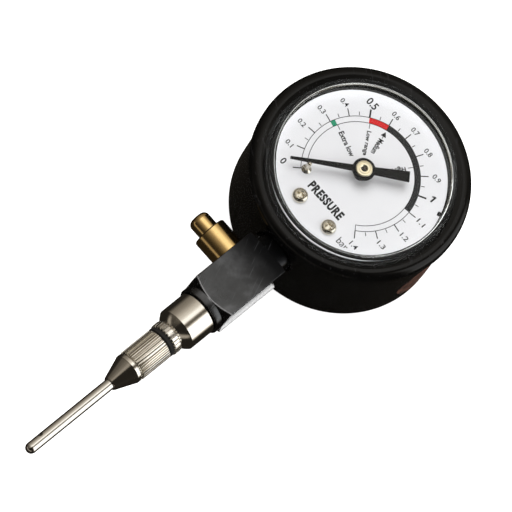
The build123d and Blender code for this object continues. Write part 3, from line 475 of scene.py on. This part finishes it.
BLACK = gloss_black()
BLOCK = satin_black()
NICKEL = plated("bright_nickel", (0.80, 0.77, 0.71), (0.45, 0.40, 0.33), (0.10, 0.17), (0.6, 14, 0.6))
GRIP = plated("knurled_nickel", (0.93, 0.91, 0.87), (0.50, 0.44, 0.36), (0.16, 0.28), (5, 5, 5))
STEEL = plated("needle_nickel", (0.80, 0.78, 0.74), (0.5, 0.46, 0.4), (0.10, 0.18), (9, 0.5, 9))
BRASS = plated("turned_brass", (0.90, 0.64, 0.28), (0.42, 0.25, 0.08), (0.13, 0.22), (14, 0.6, 0.6))
HUB = plated("pale_brass", (0.88, 0.80, 0.60), (0.45, 0.36, 0.22), (0.12, 0.22), (3, 3, 3))
SCREW = plated("screw_nickel", (0.84, 0.79, 0.68), (0.36, 0.28, 0.20), (0.14, 0.26), (4, 4, 4))
# painted shade: the pinion arbor is coloured near black to stand in for the shade in the hub's centre hole
SHADED_ARBOR = plated("arbor_painted_shade", (0.10, 0.09, 0.08), (0.04, 0.035, 0.03), (0.22, 0.34), (4, 4, 4))
INNER_BRASS = plated("machined_brass", (0.80, 0.62, 0.32), (0.5, 0.35, 0.16), (0.22, 0.34), (6, 6, 1))
BRONZE = plated("drawn_bronze", (0.68, 0.44, 0.26), (0.4, 0.24, 0.13), (0.24, 0.36), (1, 1, 7))
INNER_STEEL = plated("fine_steel", (0.66, 0.66, 0.67), (0.4, 0.39, 0.38), (0.2, 0.32), (6, 6, 6))
RUBBER = rubber("black_rubber", (0.016, 0.015, 0.014), (0.008, 0.008, 0.008))
VENT = rubber("brown_rubber", (0.15, 0.055, 0.030), (0.008, 0.006, 0.005), 0.6)
ENAMEL = enamel()
NEEDLE_BLACK = ink("pointer_black", (0.006, 0.006, 0.006), (0.014, 0.014, 0.014), 0.15)
INK = ink("ink_black", (0.012, 0.012, 0.014), (0.035, 0.035, 0.037))
RED = ink("ink_red", (0.62, 0.012, 0.016), (0.68, 0.04, 0.04))
GREEN = ink("ink_green", (0.015, 0.26, 0.14), (0.04, 0.32, 0.19))
CLEAR = clear_plastic()

FINISH = {
    "case": BLACK, "bezel": BLACK, "window": CLEAR, "window_gasket": RUBBER, "vent_plug": VENT,
    "dial": ENAMEL, "dial_screws": SCREW, "stop_pin": SCREW, "socket": INNER_BRASS,
    "case_screws": SCREW, "bourdon_tube": BRONZE, "back_plate": INNER_BRASS,
    "front_plate": INNER_BRASS, "pillars": INNER_BRASS, "pillar_screws": INNER_STEEL,
    "plate_screws": INNER_STEEL, "hairspring": INNER_STEEL, "hairspring_stud": INNER_BRASS,
    "manifold_block": BLOCK, "neck_washer": RUBBER, "valve_collar": BRASS,
    "valve_spring": INNER_STEEL, "adapter_washer": RUBBER, "adapter": NICKEL,
    "needle_connector": GRIP, "pinion_arbor": SHADED_ARBOR, "pointer": NEEDLE_BLACK,
    "pointer_hub": HUB, "sector_gear": INNER_BRASS, "sector_arbor": INNER_STEEL,
    "tail_pin": INNER_STEEL, "tube_tip": INNER_BRASS, "tip_pin": INNER_STEEL,
    "link": INNER_BRASS, "valve_plunger": BRASS, "valve_seal": RUBBER,
    "needle_washer": RUBBER, "needle_chuck": NICKEL, "needle_tube": STEEL,
}
for node, material in FINISH.items():
    NODES[node].data.materials.clear()
    NODES[node].data.materials.append(material)


# ---- dial print --------------------------------------------------------------------------------
INK_LIFT = 0.02
ZERO_CLOCK = -136.7
SCALE_SPAN = 275.4
SCALE_END = 1.4
BAND_IN, BAND_OUT = 10.65, 11.95
LINE, TICK, MAIN_TICK, HALF_TICK = 0.13, 0.2, 0.34, 0.14
ONE_STEM = 0.36
# text, middle x and y, width and height, stroke weight
NUMERALS = (
    ("0", -11.37, -10.39, 0.9, 1.5, 0.02),
    ("0.1", -13.30, -6.97, 1.6, 1.05, 0.012),
    ("0.2", -14.88, -2.12, 1.75, 1.05, 0.012),
    ("0.3", -14.50, 2.88, 1.75, 1.05, 0.012),
    ("0.4", -12.75, 7.51, 1.8, 1.05, 0.012),
    ("0.5", -9.14, 11.75, 2.4, 1.65, 0.02),
    ("0.6", -4.40, 13.80, 1.75, 1.1, 0.012),
    ("0.7", 0.35, 14.57, 1.75, 1.1, 0.012),
    ("0.8", 5.13, 13.63, 1.75, 1.1, 0.012),
    ("0.9", 10.06, 11.27, 1.8, 1.1, 0.012),
    ("1", 12.79, 7.75, ONE_STEM, 1.5, 0.0),
    ("1.1", 14.76, 2.52, 1.7, 1.05, 0.012),
    ("1.2", 14.84, -2.11, 1.75, 1.05, 0.012),
    ("1.3", 13.21, -6.82, 1.75, 1.05, 0.012),
    ("1.4", 9.88, -11.24, 1.75, 1.05, 0.012),
    ("bar", 8.30, -12.75, 2.5, 1.5, 0.0),
)
# text, clock angle, and the radii where it starts and ends
WORDS = (
    ("Extra low", -72.5, 9.2, 3.8),
    ("Low range", -37.0, 9.1, 3.9),
    ("Medium", -18.0, 8.5, 5.0),
    ("High range", 31.0, 9.1, 3.9),
)


def scale_clock(value):
    return ZERO_CLOCK + SCALE_SPAN * value / SCALE_END


def flat_plate(mesh, outline):
    """A thin closed plate of ink on the dial, from its outline in millimetres."""
    low = [(x, y, FACE) for x, y in outline]
    high = [(x, y, FACE + INK_LIFT) for x, y in outline]
    skin(mesh, [low, high])


def sector(mesh, inner, outer, start, end):
    """A thin plate between two radii and two clock angles."""
    steps = max(2, int(abs(end - start) / 2))
    angles = [start + (end - start) * i / steps for i in range(steps + 1)]
    for a, b in zip(angles, angles[1:]):
        corners = [clock(inner, a), clock(outer, a), clock(outer, b), clock(inner, b)]
        low = [mesh.verts.new((x, y, FACE)) for x, y in corners]
        high = [mesh.verts.new((x, y, FACE + INK_LIFT)) for x, y in corners]
        mesh.faces.new(high)
        mesh.faces.new(low)
        mesh.faces.new((low[1], low[2], high[2], high[1]))
        mesh.faces.new((low[3], low[0], high[0], high[3]))
        if a == start:
            mesh.faces.new((low[0], low[1], high[1], high[0]))
        if b == end:
            mesh.faces.new((low[2], low[3], high[3], high[2]))


def bar(mesh, inner, outer, degrees, width):
    """A radial tick."""
    ux, uy = clock(1, degrees)
    sx, sy = -uy * width / 2, ux * width / 2
    flat_plate(mesh, [
        (ux * inner - sx, uy * inner - sy), (ux * outer - sx, uy * outer - sy),
        (ux * outer + sx, uy * outer + sy), (ux * inner + sx, uy * inner + sy),
    ])


def lettering(mesh, text, position, size, turn=0.0, weight=0.0, spacing=1.0):
    """Adds raised letters centred on position, fitted to a width and height in millimetres."""
    curve = bpy.data.curves.new("letters", "FONT")
    curve.body = text
    curve.size = 1.0
    curve.offset = weight
    curve.space_character = spacing
    curve.extrude = INK_LIFT / 2
    curve.resolution_u = 3
    holder = bpy.data.objects.new("letters", curve)
    bpy.context.scene.collection.objects.link(holder)
    bpy.context.view_layer.update()
    graph = bpy.context.evaluated_depsgraph_get()
    data = bpy.data.meshes.new_from_object(holder.evaluated_get(graph))
    xs = [v.co.x for v in data.vertices]
    ys = [v.co.y for v in data.vertices]
    width, height = size
    grow = Matrix.Diagonal((width / (max(xs) - min(xs)), height / (max(ys) - min(ys)), 1, 1))
    middle = Matrix.Translation((-(max(xs) + min(xs)) / 2, -(max(ys) + min(ys)) / 2, 0))
    place = Matrix.Translation((*position, FACE + INK_LIFT / 2))
    data.transform(place @ Matrix.Rotation(math.radians(turn), 4, "Z") @ grow @ middle)
    mesh.from_mesh(data)
    bpy.data.objects.remove(holder)
    bpy.data.curves.remove(curve)
    bpy.data.meshes.remove(data)


def numeral_one(mesh, x, y, stem, height):
    """The figure 1 with a slanted flag, centred on its stem."""
    low, high, half = y - height / 2, y + height / 2, stem / 2
    flat_plate(mesh, [
        (x - half, low), (x + half, low), (x + half, high), (x - half, high),
        (x - half - 0.42, high - 0.34), (x - half - 0.42, high - 0.62), (x - half, high - 0.42),
    ])


def dial_print():
    black = bmesh.new()
    for step in range(int(SCALE_END * 20) + 1):
        degrees = scale_clock(step / 20)
        if step % 10 == 0 and step:
            bar(black, BAND_OUT, 13.6, degrees, MAIN_TICK)
        elif step % 2 == 0:
            bar(black, BAND_OUT, 13.5, degrees, TICK)
        else:
            bar(black, BAND_OUT + 0.1, 12.8, degrees, HALF_TICK)
    finish_mesh(black, "dial_ticks", "gauge", INK)

    outline = bmesh.new()
    for start, end in ((0, 0.6), (1.1, SCALE_END)):
        start, end = scale_clock(start), scale_clock(end)
        sector(outline, BAND_IN, BAND_IN + LINE, start, end)
        sector(outline, BAND_OUT - LINE, BAND_OUT, start, end)
    for value in (0, SCALE_END):
        bar(outline, BAND_IN, BAND_OUT, scale_clock(value), LINE)
    finish_mesh(outline, "dial_band_outline", "gauge", INK)

    for name, start, end, material, slot in (
        ("dial_zone_green", 0.3, 0.325, GREEN, "dial_green"),
        ("dial_zone_red", 0.5, 0.6, RED, "dial_red"),
        ("dial_zone_black", 0.6, 1.1, INK, "dial_ink"),
    ):
        zone = bmesh.new()
        sector(zone, BAND_IN, BAND_OUT, scale_clock(start), scale_clock(end))
        finish_mesh(zone, name, "gauge", material)

    numerals = bmesh.new()
    for text, x, y, width, height, weight in NUMERALS:
        if text == "1":
            numeral_one(numerals, x, y, width, height)
        else:
            lettering(numerals, text, (x, y), (width, height), weight=weight)
    finish_mesh(numerals, "dial_numerals", "gauge", INK)

    words = bmesh.new()
    for text, degrees, outer, inner in WORDS:
        middle = clock((outer + inner) / 2, degrees)
        lettering(words, text, middle, (outer - inner, 1.15), 270 - degrees, 0.03)
        if text != "Medium":
            bar(words, 9.6, BAND_IN, degrees, LINE)
    lettering(words, "PRESSURE", (-0.2, -9.25), (9.0, 2.0), weight=0.05, spacing=1.14)
    # an arrow from the word Medium to the scale
    flat_plate(words, [clock(10.3, -18), clock(9.25, -14.4), clock(9.25, -21.6)])
    bar(words, 8.7, 9.3, -18, LINE)
    finish_mesh(words, "dial_words", "gauge", INK)


dial_print()

# ---- needle side: distances along the needle's axis are from the dial's centre ----------------


def square_outline():
    """Directions and distances round the block's square section with its rounded corners."""
    flat = BLOCK_HALF - BLOCK_EDGE
    side = [(flat * t, BLOCK_HALF) for t in (-1, -0.985, *(i / 16 for i in range(-15, 16)), 0.985, 1)]
    for step in range(1, 5):
        a = math.radians(90 - 18 * step)
        side.append((flat + BLOCK_EDGE * math.cos(a), flat + BLOCK_EDGE * math.sin(a)))
    points = []
    for quarter in range(4):
        a = -quarter * math.pi / 2
        points += [(x * math.cos(a) - y * math.sin(a), x * math.sin(a) + y * math.cos(a)) for x, y in side]
    return [(math.atan2(x, y), math.hypot(x, y)) for x, y in points]


def block_mesh():
    slope, stretch = CONE_SLOPE, math.hypot(1, CONE_SLOPE)
    columns = []
    for turn, reach in square_outline():
        # the end by the case slants back outside FRONT_R
        front = min(reach, FRONT_R)
        start = BLOCK_START + (reach - front) * FRONT_SLOPE
        edge = CONE_START + (CONE_R - reach) / slope
        b = min(BEVEL, 0.4 * stretch * (BLOCK_END - edge) + 0.004)
        before = Vector((edge - b, reach))
        after = Vector((edge + b / stretch, reach - b * slope / stretch))
        middle = before / 4 + Vector((edge, reach)) / 2 + after / 4
        columns.append((turn, [
            (13.3, BORE_R), (13.3, 2.7), (13.6, 3.0), (19.25, 3.0), (19.25, 4.4), (BLOCK_START, 4.4),
            (BLOCK_START, front - 0.16), (BLOCK_START, front - 0.1), (start + 0.03, reach - 0.03),
            (start + 0.1, reach), (start + 0.16, reach), (edge - b - 0.04, reach), tuple(before),
            tuple(middle), tuple(after), (BLOCK_END - 0.0015, BOSS_R + 0.033), (BLOCK_END, BOSS_R),
            (40.8, BOSS_R), (40.92, 4.99), (40.95, 4.9), (40.95, 2.45), (34.8, 2.45), (34.8, BORE_R),
        ]))
    mesh = bmesh.new()
    count = len(columns[0][1])
    skin(mesh, [[on_needle(*c[1][row], c[0]) for c in columns] for row in range(count)], closed=True)
    return mesh


def build_block():
    block = finish_mesh(block_mesh(), "manifold_block_body", "gauge", BLOCK, 40)
    port = turned_mesh(on_valve, [(0.0, 0.0), (0.0, 1.1), (1.4, 1.1), (1.4, 2.95), (6.4, 2.95), (6.4, 0.0)])
    drilled(block, port)
    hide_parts("manifold_block")
    return block


def arc(start, first, last, reach, steps=6):
    """Points of a profile whose slope grows from first to last degrees over a length along the axis."""
    low, high = math.radians(first), math.radians(last)
    radius = reach / (math.sin(high) - math.sin(low))
    points = []
    for step in range(1, steps + 1):
        a = low + (high - low) * step / steps
        points.append((
            start[0] + radius * (math.sin(a) - math.sin(low)),
            start[1] - radius * (math.cos(low) - math.cos(a)),
        ))
    return points


def build_adapter():
    face = ADAPTER_R - 0.035
    profile = [
        (35.0, BORE_R), (35.0, 2.4), (41.2, 2.4), (41.2, 4.38), (41.24, 4.49), (41.35, ADAPTER_R),
        (41.5, ADAPTER_R), (46.76, ADAPTER_R), (46.81, ADAPTER_R), (46.87, face),
        *arc((46.87, face), 36, 50, 1.73), (48.6, 2.05), (42.9, 2.05), (42.9, BORE_R),
    ]
    mesh = turned_mesh(on_needle, profile, closed=True)
    adapter = finish_mesh(mesh, "adapter_body", "gauge", NICKEL, 24)
    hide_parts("adapter")


def build_connector():
    ridge = ((-0.31, 0.0), (-0.15, 0.0), (0.15, 0.0), (0.31, 0.0), (0.42, 1.0), (0.58, 1.0))
    cut = RING_CUT
    profile = [
        (43.4, 0.6), (43.4, 2.0), (48.68, 2.0), (48.68, 3.22, cut / 2), (48.74, 3.38, cut),
        (48.9, RING_R, cut), (50.14, RING_R, cut), (50.32, 3.4, cut), (50.38, 3.22, cut / 2),
        (50.38, STUD_R), *thread(50.8, 55.7, STUD_R, 0.2, THREAD_PITCH), (55.98, 1.5), (55.98, 0.6),
    ]
    mesh = turned_mesh(on_needle, profile, knurl(RING_RIDGES, ridge), True)
    ring = finish_mesh(mesh, "needle_connector_body", "gauge", GRIP, 28)
    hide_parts("needle_connector")


def build_chuck():
    ridge = ((-0.25, 0.0), (0.0, -0.1), (0.25, 0.0), (0.41, 1.0), (0.59, 1.0))
    cut = GRIP_CUT
    profile = [
        (51.4, 1.95), (51.4, 2.98), (51.46, 3.12, cut / 4), (51.62, GRIP_R, cut), (51.7, GRIP_R, cut),
        (58.5, GRIP_R, cut), (58.66, 3.18, cut), (58.75, 3.02), (58.85, 2.95), (58.95, 2.97),
        (59.06, 3.14), (59.14, 3.2), (59.2, 3.2), (59.72, 3.2), (59.78, 3.2), (59.87, 3.17),
        (59.95, 3.11), (60.0, 3.085), (64.3, 1.53), (64.36, 1.5), (64.46, 1.42), (64.5, 1.3),
        (64.5, 0.97), (58.65, 0.97), (58.65, 0.7), (57.1, 0.7),
        *thread(57.1, 52.0, 1.95, 0.13, THREAD_PITCH),
    ]
    mesh = turned_mesh(on_needle, profile, knurl(GRIP_RIDGES, ridge), True)
    chuck = finish_mesh(mesh, "needle_chuck_body", "needle", NICKEL, 28)
    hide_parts("needle_chuck")


def build_hub():
    top = size_mm("pointer_hub")[1].z
    low = top - 1.95
    profile = [
        (low, 0.4), (low, 1.35), (top - 0.87, 1.35), (top - 0.87, 1.0), (top - 0.43, 1.0),
        (top - 0.43, 1.7), (top - 0.2, 1.7), (top - 0.1, 1.67), (top - 0.03, 1.6), (top, 1.5),
        (top, 1.22), (top - 0.06, 1.17), (top - 0.06, 1.08), (top, 1.03), (top, 0.72), (top - 0.04, 0.66),
        (top - 0.25, 0.42), (top - 0.3, 0.4),
    ]
    mesh = turned_mesh(on_dial, profile, closed=True)
    hub = finish_mesh(mesh, "pointer_hub_body", "pointer", HUB)
    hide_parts("pointer_hub")


def build_screws():
    """Two domed heads with cross recesses, on shanks that go into the posts."""
    low, high = size_mm("dial_screws")
    radius = (high.y - low.y) / 2
    middle = (low.y + high.y) / 2
    side = high.x - radius
    top = high.z
    heads = bmesh.new()
    recesses = (bmesh.new(), bmesh.new())
    profile = [(low.z, 0.0), (low.z, 0.75), (FACE, 0.75), (FACE, radius - 0.04), (FACE + 0.06, radius),
               (FACE + 0.3, radius), (FACE + 0.52, radius - 0.07), (FACE + 0.72, radius - 0.26),
               (FACE + 0.86, radius - 0.58), (top - 0.02, radius - 1.0), (top, 0.0)]
    for x, turn in ((-side, 0.35), (side, 0.9)):
        def at(along, reach, angle):
            return Vector((x, middle, 0)) + on_dial(along, reach, angle)

        rings = [[at(z, r, TAU * i / 64) for i in range(64)] if r else [at(z, 0, 0)] for z, r in profile]
        skin(heads, rings)
        for recess, arm in zip(recesses, (turn, turn + math.pi / 2)):
            along = Vector((math.cos(arm), math.sin(arm), 0))
            across = Vector((-math.sin(arm), math.cos(arm), 0))
            rings = []
            for z, reach, half in ((top - 0.6, 0.42, 0.17), (top + 0.2, 1.05, 0.33)):
                centre = Vector((x, middle, z))
                corners = ((reach, half), (-reach, half), (-reach, -half), (reach, -half))
                rings.append([centre + along * a + across * b for a, b in corners])
            skin(recess, rings)
    screws = finish_mesh(heads, "dial_screw_heads", "gauge", SCREW, 30)
    for recess in recesses:
        drilled(screws, recess)
    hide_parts("dial_screws")


def build_vent():
    """Rubber plug whose face follows the case's wall."""
    ux, uy = clock(1, VENT_CLOCK)
    low, high = size_mm("vent_plug")
    middle = (low.z + high.z) / 2
    wall = size_mm("case")[1].x + 0.06

    def flat(reach, radius, turn):
        aside = radius * math.sin(turn)
        return Vector((ux * reach + uy * aside, uy * reach - ux * aside, middle + radius * math.cos(turn)))

    def curved(lift, radius, turn):
        aside = radius * math.sin(turn)
        return flat(math.sqrt(wall**2 - aside**2) + lift, radius, turn)

    turns = [TAU * i / 128 for i in range(128)]
    flange = ((18.4, 6.3), (19.0, 6.3), (19.0, 5.48))
    face = ((-0.22, 5.48), (-0.1, 5.44), (-0.02, 5.34), (0.0, 5.2), (0.0, 4.6), (-0.04, 4.5),
            (-0.04, 4.3), (0.0, 4.2), (0.0, 3.0), (0.0, 1.5))
    rings = [[flat(flange[0][0], 0, 0)]]
    rings += [[flat(reach, radius, turn) for turn in turns] for reach, radius in flange]
    rings += [[curved(lift, radius, turn) for turn in turns] for lift, radius in face]
    rings.append([curved(0, 0, 0)])
    mesh = bmesh.new()
    skin(mesh, rings)
    plug = finish_mesh(mesh, "vent_plug_body", "gauge", VENT)
    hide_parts("vent_plug")


def build_valve_spring():
    """Coil round the release valve's axis."""
    low, high = size_mm("valve_spring")
    radius, wire = 1.6, 0.17
    start, end = -high.x + wire, -low.x - wire
    turns, steps = 3.6, 132
    rings = []
    for step in range(steps + 1):
        share = step / steps
        turn = TAU * turns * share
        along = start + (end - start) * share
        centre = on_valve(along, radius, turn)
        out = (on_valve(along, radius + 1, turn) - centre).normalized()
        ahead = on_valve(along + (end - start) / steps, radius, turn + TAU * turns / steps) - centre
        side = ahead.cross(out).normalized()
        section = (TAU * i / 10 for i in range(10))
        rings.append([centre + (out * math.cos(a) + side * math.sin(a)) * wire for a in section])
    mesh = bmesh.new()
    skin(mesh, rings)
    spring = finish_mesh(mesh, "valve_spring_coil", "gauge", INNER_STEEL, 60)
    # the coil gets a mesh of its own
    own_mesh(spring)
    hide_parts("valve_spring")


def build_bourdon_tube():
    """Flattened tube curved round the dial's axis."""
    radius, height, start, sweep = 14.6, 12.5, 195.0, 290.0
    outer, inner = [], []
    for half_w, half_h, corner, points in ((0.8, 3.0, 0.75, outer), (0.5, 2.7, 0.45, inner)):
        for sx, sz, first in ((1, 1, 0), (-1, 1, 90), (-1, -1, 180), (1, -1, 270)):
            for step in range(6):
                a = math.radians(first + 18 * step)
                points.append((sx * (half_w - corner) + corner * math.cos(a),
                               sz * (half_h - corner) + corner * math.sin(a)))
    steps = 116
    mesh = bmesh.new()
    shells = []
    for section in (outer, inner):
        rows = []
        for step in range(steps + 1):
            degrees = start + sweep * step / steps
            row = []
            for across, up in section:
                x, y = clock(radius + across, degrees)
                row.append(mesh.verts.new((x, y, height + up)))
            rows.append(row)
        shells.append(rows)
        for a, b in zip(rows, rows[1:]):
            for i in range(len(a)):
                j = (i + 1) % len(a)
                mesh.faces.new((a[i], b[i], b[j], a[j]))
    for end in (0, -1):
        a, b = shells[0][end], shells[1][end]
        for i in range(len(a)):
            j = (i + 1) % len(a)
            mesh.faces.new((a[i], a[j], b[j], b[i]))
    tube = finish_mesh(mesh, "bourdon_tube_body", None, BRONZE, 40)
    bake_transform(tube)
    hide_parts("bourdon_tube")


build_screws()
build_vent()
build_valve_spring()
build_bourdon_tube()
BLOCK_PIECE = build_block()
build_adapter()
build_connector()
build_chuck()
build_hub()

# ---- floor, light and camera ---------------------------------------------------------------------
CAMERA_AT = (0.126751, -0.498806, 1.110045)
CAMERA_RIGHT = (0.66116, 0.71361, 0.23157)
CAMERA_UP = (-0.74263, 0.57862, 0.33720)
CAMERA_BACK = (0.10663, -0.39491, 0.91251)
CAMERA_LENS = 439.5
# metres
FLOOR_SIZE, FLOOR_CELLS, FLOOR_GAP = 3.0, 24, 0.00005
LAMP_SIZE = 0.8


def build_floor():
    mesh = bmesh.new()
    bmesh.ops.create_grid(mesh, x_segments=FLOOR_CELLS, y_segments=FLOOR_CELLS, size=FLOOR_SIZE / 2)
    data = bpy.data.meshes.new("floor")
    mesh.to_mesh(data)
    mesh.free()
    floor = bpy.data.objects.new("floor", data)
    floor.location = (0, 0, -FLOOR_GAP)
    bpy.context.scene.collection.objects.link(floor)
    paper = Paint("white_paper", Specular_IOR_Level=0.1, Roughness=0.9, Emission_Color=(1, 1, 1),
                  Emission_Strength=0.85)
    grain = paper.node("ShaderNodeTexNoise", Scale=900.0).outputs["Fac"]
    paper.colour(paper.node("ShaderNodeMapRange", Value=grain, To_Min=0.86, To_Max=0.90).outputs[0])
    data.materials.append(paper.material)
    floor.visible_glossy = False


class Sky(Graph):
    """World light written as a function of direction, seen by everything but the camera."""

    def __init__(self):
        world = bpy.data.worlds.new("studio")
        bpy.context.scene.world = world
        world.use_nodes = True
        super().__init__(world.node_tree)
        place = self.node("ShaderNodeTexCoord").outputs["Generated"]
        self.x, self.y, self.z = self.node("ShaderNodeSeparateXYZ", Vector=place).outputs

    def step(self, value, low, high):
        """0 below low, 1 above high and smooth between them."""
        node = self.node("ShaderNodeMapRange", Value=value, From_Min=low, From_Max=high)
        node.interpolation_type = "SMOOTHSTEP"
        return node.outputs[0]

    def fade(self, value, low, high):
        """1 below low and 0 above high."""
        return self.math("SUBTRACT", 1.0, self.step(value, low, high))

    def times(self, *values):
        product = values[0]
        for value in values[1:]:
            product = self.math("MULTIPLY", product, value)
        return product

    def curve(self, value, stops):
        """Piecewise linear: stops are (value from -1 to 1, brightness from 0 to 1)."""
        share = self.math("MULTIPLY_ADD", value, 0.5, 0.5)
        return self.ramp(share, [((position + 1) / 2, level) for position, level in stops])


def build_world():
    sky = Sky()
    # a broad bright patch overhead that falls off towards -X and to both ends
    slant = sky.math("SUBTRACT", sky.x, sky.math("MULTIPLY", sky.math("SUBTRACT", sky.y, 0.395), 0.25))
    across = sky.curve(slant, [
        (-0.9, 0.08), (-0.76, 0.16), (-0.67, 0.24), (-0.55, 0.34), (-0.43, 0.46), (-0.30, 0.52),
        (-0.19, 0.72), (-0.08, 1.0), (0.12, 0.97), (0.22, 0.1), (0.3, 0.0),
    ])
    along = sky.curve(sky.y, [
        (-0.9, 0.02), (-0.65, 0.12), (-0.30, 0.32), (-0.11, 0.7), (0.08, 1.0),
        (0.42, 1.0), (0.5, 0.8), (0.68, 0.4), (0.84, 0.22), (0.95, 0.12),
    ])
    top = sky.times(across, along, sky.step(sky.z, -0.1, 0.2), 1.3)
    # a window low on the +X side
    side = sky.times(sky.step(sky.x, 0.42, 0.62), sky.step(sky.y, 0.02, 0.16),
                     sky.fade(sky.y, 0.75, 0.9), sky.step(sky.z, -0.36, -0.04), 1.7)
    # a dim strip low on the needle's side, for the metals seen from behind
    strip = sky.times(sky.fade(sky.y, -0.7, -0.5), sky.step(sky.z, -0.15, 0.0),
                      sky.fade(sky.z, 0.1, 0.24), 0.4)
    ambient = sky.times(sky.step(sky.y, -0.35, 0.4), sky.step(sky.z, -0.3, 0.1), 0.11)
    ambient = sky.math("ADD", ambient, 0.02)
    total = sky.math("ADD", sky.math("MAXIMUM", sky.math("MAXIMUM", top, side), strip), ambient)
    warmth = sky.ramp(sky.math("MULTIPLY", total, 0.6), [
        (0.05, (1.0, 0.87, 0.70)), (0.72, (1.0, 0.96, 0.89)), (1.0, (1.0, 1.0, 0.98)),
    ])
    light = sky.node("ShaderNodeBackground", Color=warmth, Strength=total).outputs[0]
    white = sky.node("ShaderNodeBackground", Color=(1, 1, 1)).outputs[0]
    camera_sees = sky.node("ShaderNodeLightPath").outputs["Is Camera Ray"]
    sky.node("ShaderNodeOutputWorld", Surface=sky.mix_shaders(camera_sees, light, white))


def soft_light(name, at, look, power):
    """A round lamp that lights surfaces without showing in their gloss."""
    data = bpy.data.lights.new(name, "AREA")
    data.shape = "DISK"
    data.size = LAMP_SIZE
    data.energy = power
    lamp = bpy.data.objects.new(name, data)
    lamp.location = at
    lamp.rotation_mode = "QUATERNION"
    lamp.rotation_quaternion = (Vector(look) - Vector(at)).to_track_quat("-Z", "Y")
    lamp.visible_glossy = False
    bpy.context.scene.collection.objects.link(lamp)


def build_camera():
    data = bpy.data.cameras.new("camera")
    data.lens = CAMERA_LENS
    data.sensor_width = 36.0
    data.clip_start = 0.05
    data.clip_end = 20.0
    camera = bpy.data.objects.new("camera", data)
    axes = Matrix((CAMERA_RIGHT, CAMERA_UP, CAMERA_BACK)).transposed().to_4x4()
    camera.matrix_world = Matrix.Translation(CAMERA_AT) @ axes
    bpy.context.scene.collection.objects.link(camera)
    bpy.context.scene.camera = camera


def reflector_card(name, piece, low, high, height, level):
    """A bright strip just above the floor that only one piece's gloss sees."""
    width, length = (high[0] - low[0]) * MM, (high[1] - low[1]) * MM
    data = bpy.data.lights.new(name, "AREA")
    data.shape = "RECTANGLE"
    data.size = width
    data.size_y = length
    data.energy = level * math.pi * width * length
    card = bpy.data.objects.new(name, data)
    card.location = ((low[0] + high[0]) / 2 * MM, (low[1] + high[1]) / 2 * MM, height * MM)
    card.rotation_euler = (math.pi, 0, 0)
    card.visible_camera = False
    card.visible_diffuse = False
    bpy.context.scene.collection.objects.link(card)
    seen_by = bpy.data.collections.new(name)
    seen_by.objects.link(piece)
    card.light_linking.receiver_collection = seen_by


build_floor()
build_world()
reflector_card("floor_card", BLOCK_PIECE, (6.25, -36.0), (6.85, -12.0), 0.3, 3.0)
soft_light("key", (-0.30, 0.25, 0.75), (0, 0, 0.01), 4.8)
soft_light("fill", (0.45, -0.35, 0.70), (0, -0.02, 0.01), 2.2)
build_camera()
bpy.context.scene.view_settings.view_transform = "Standard"
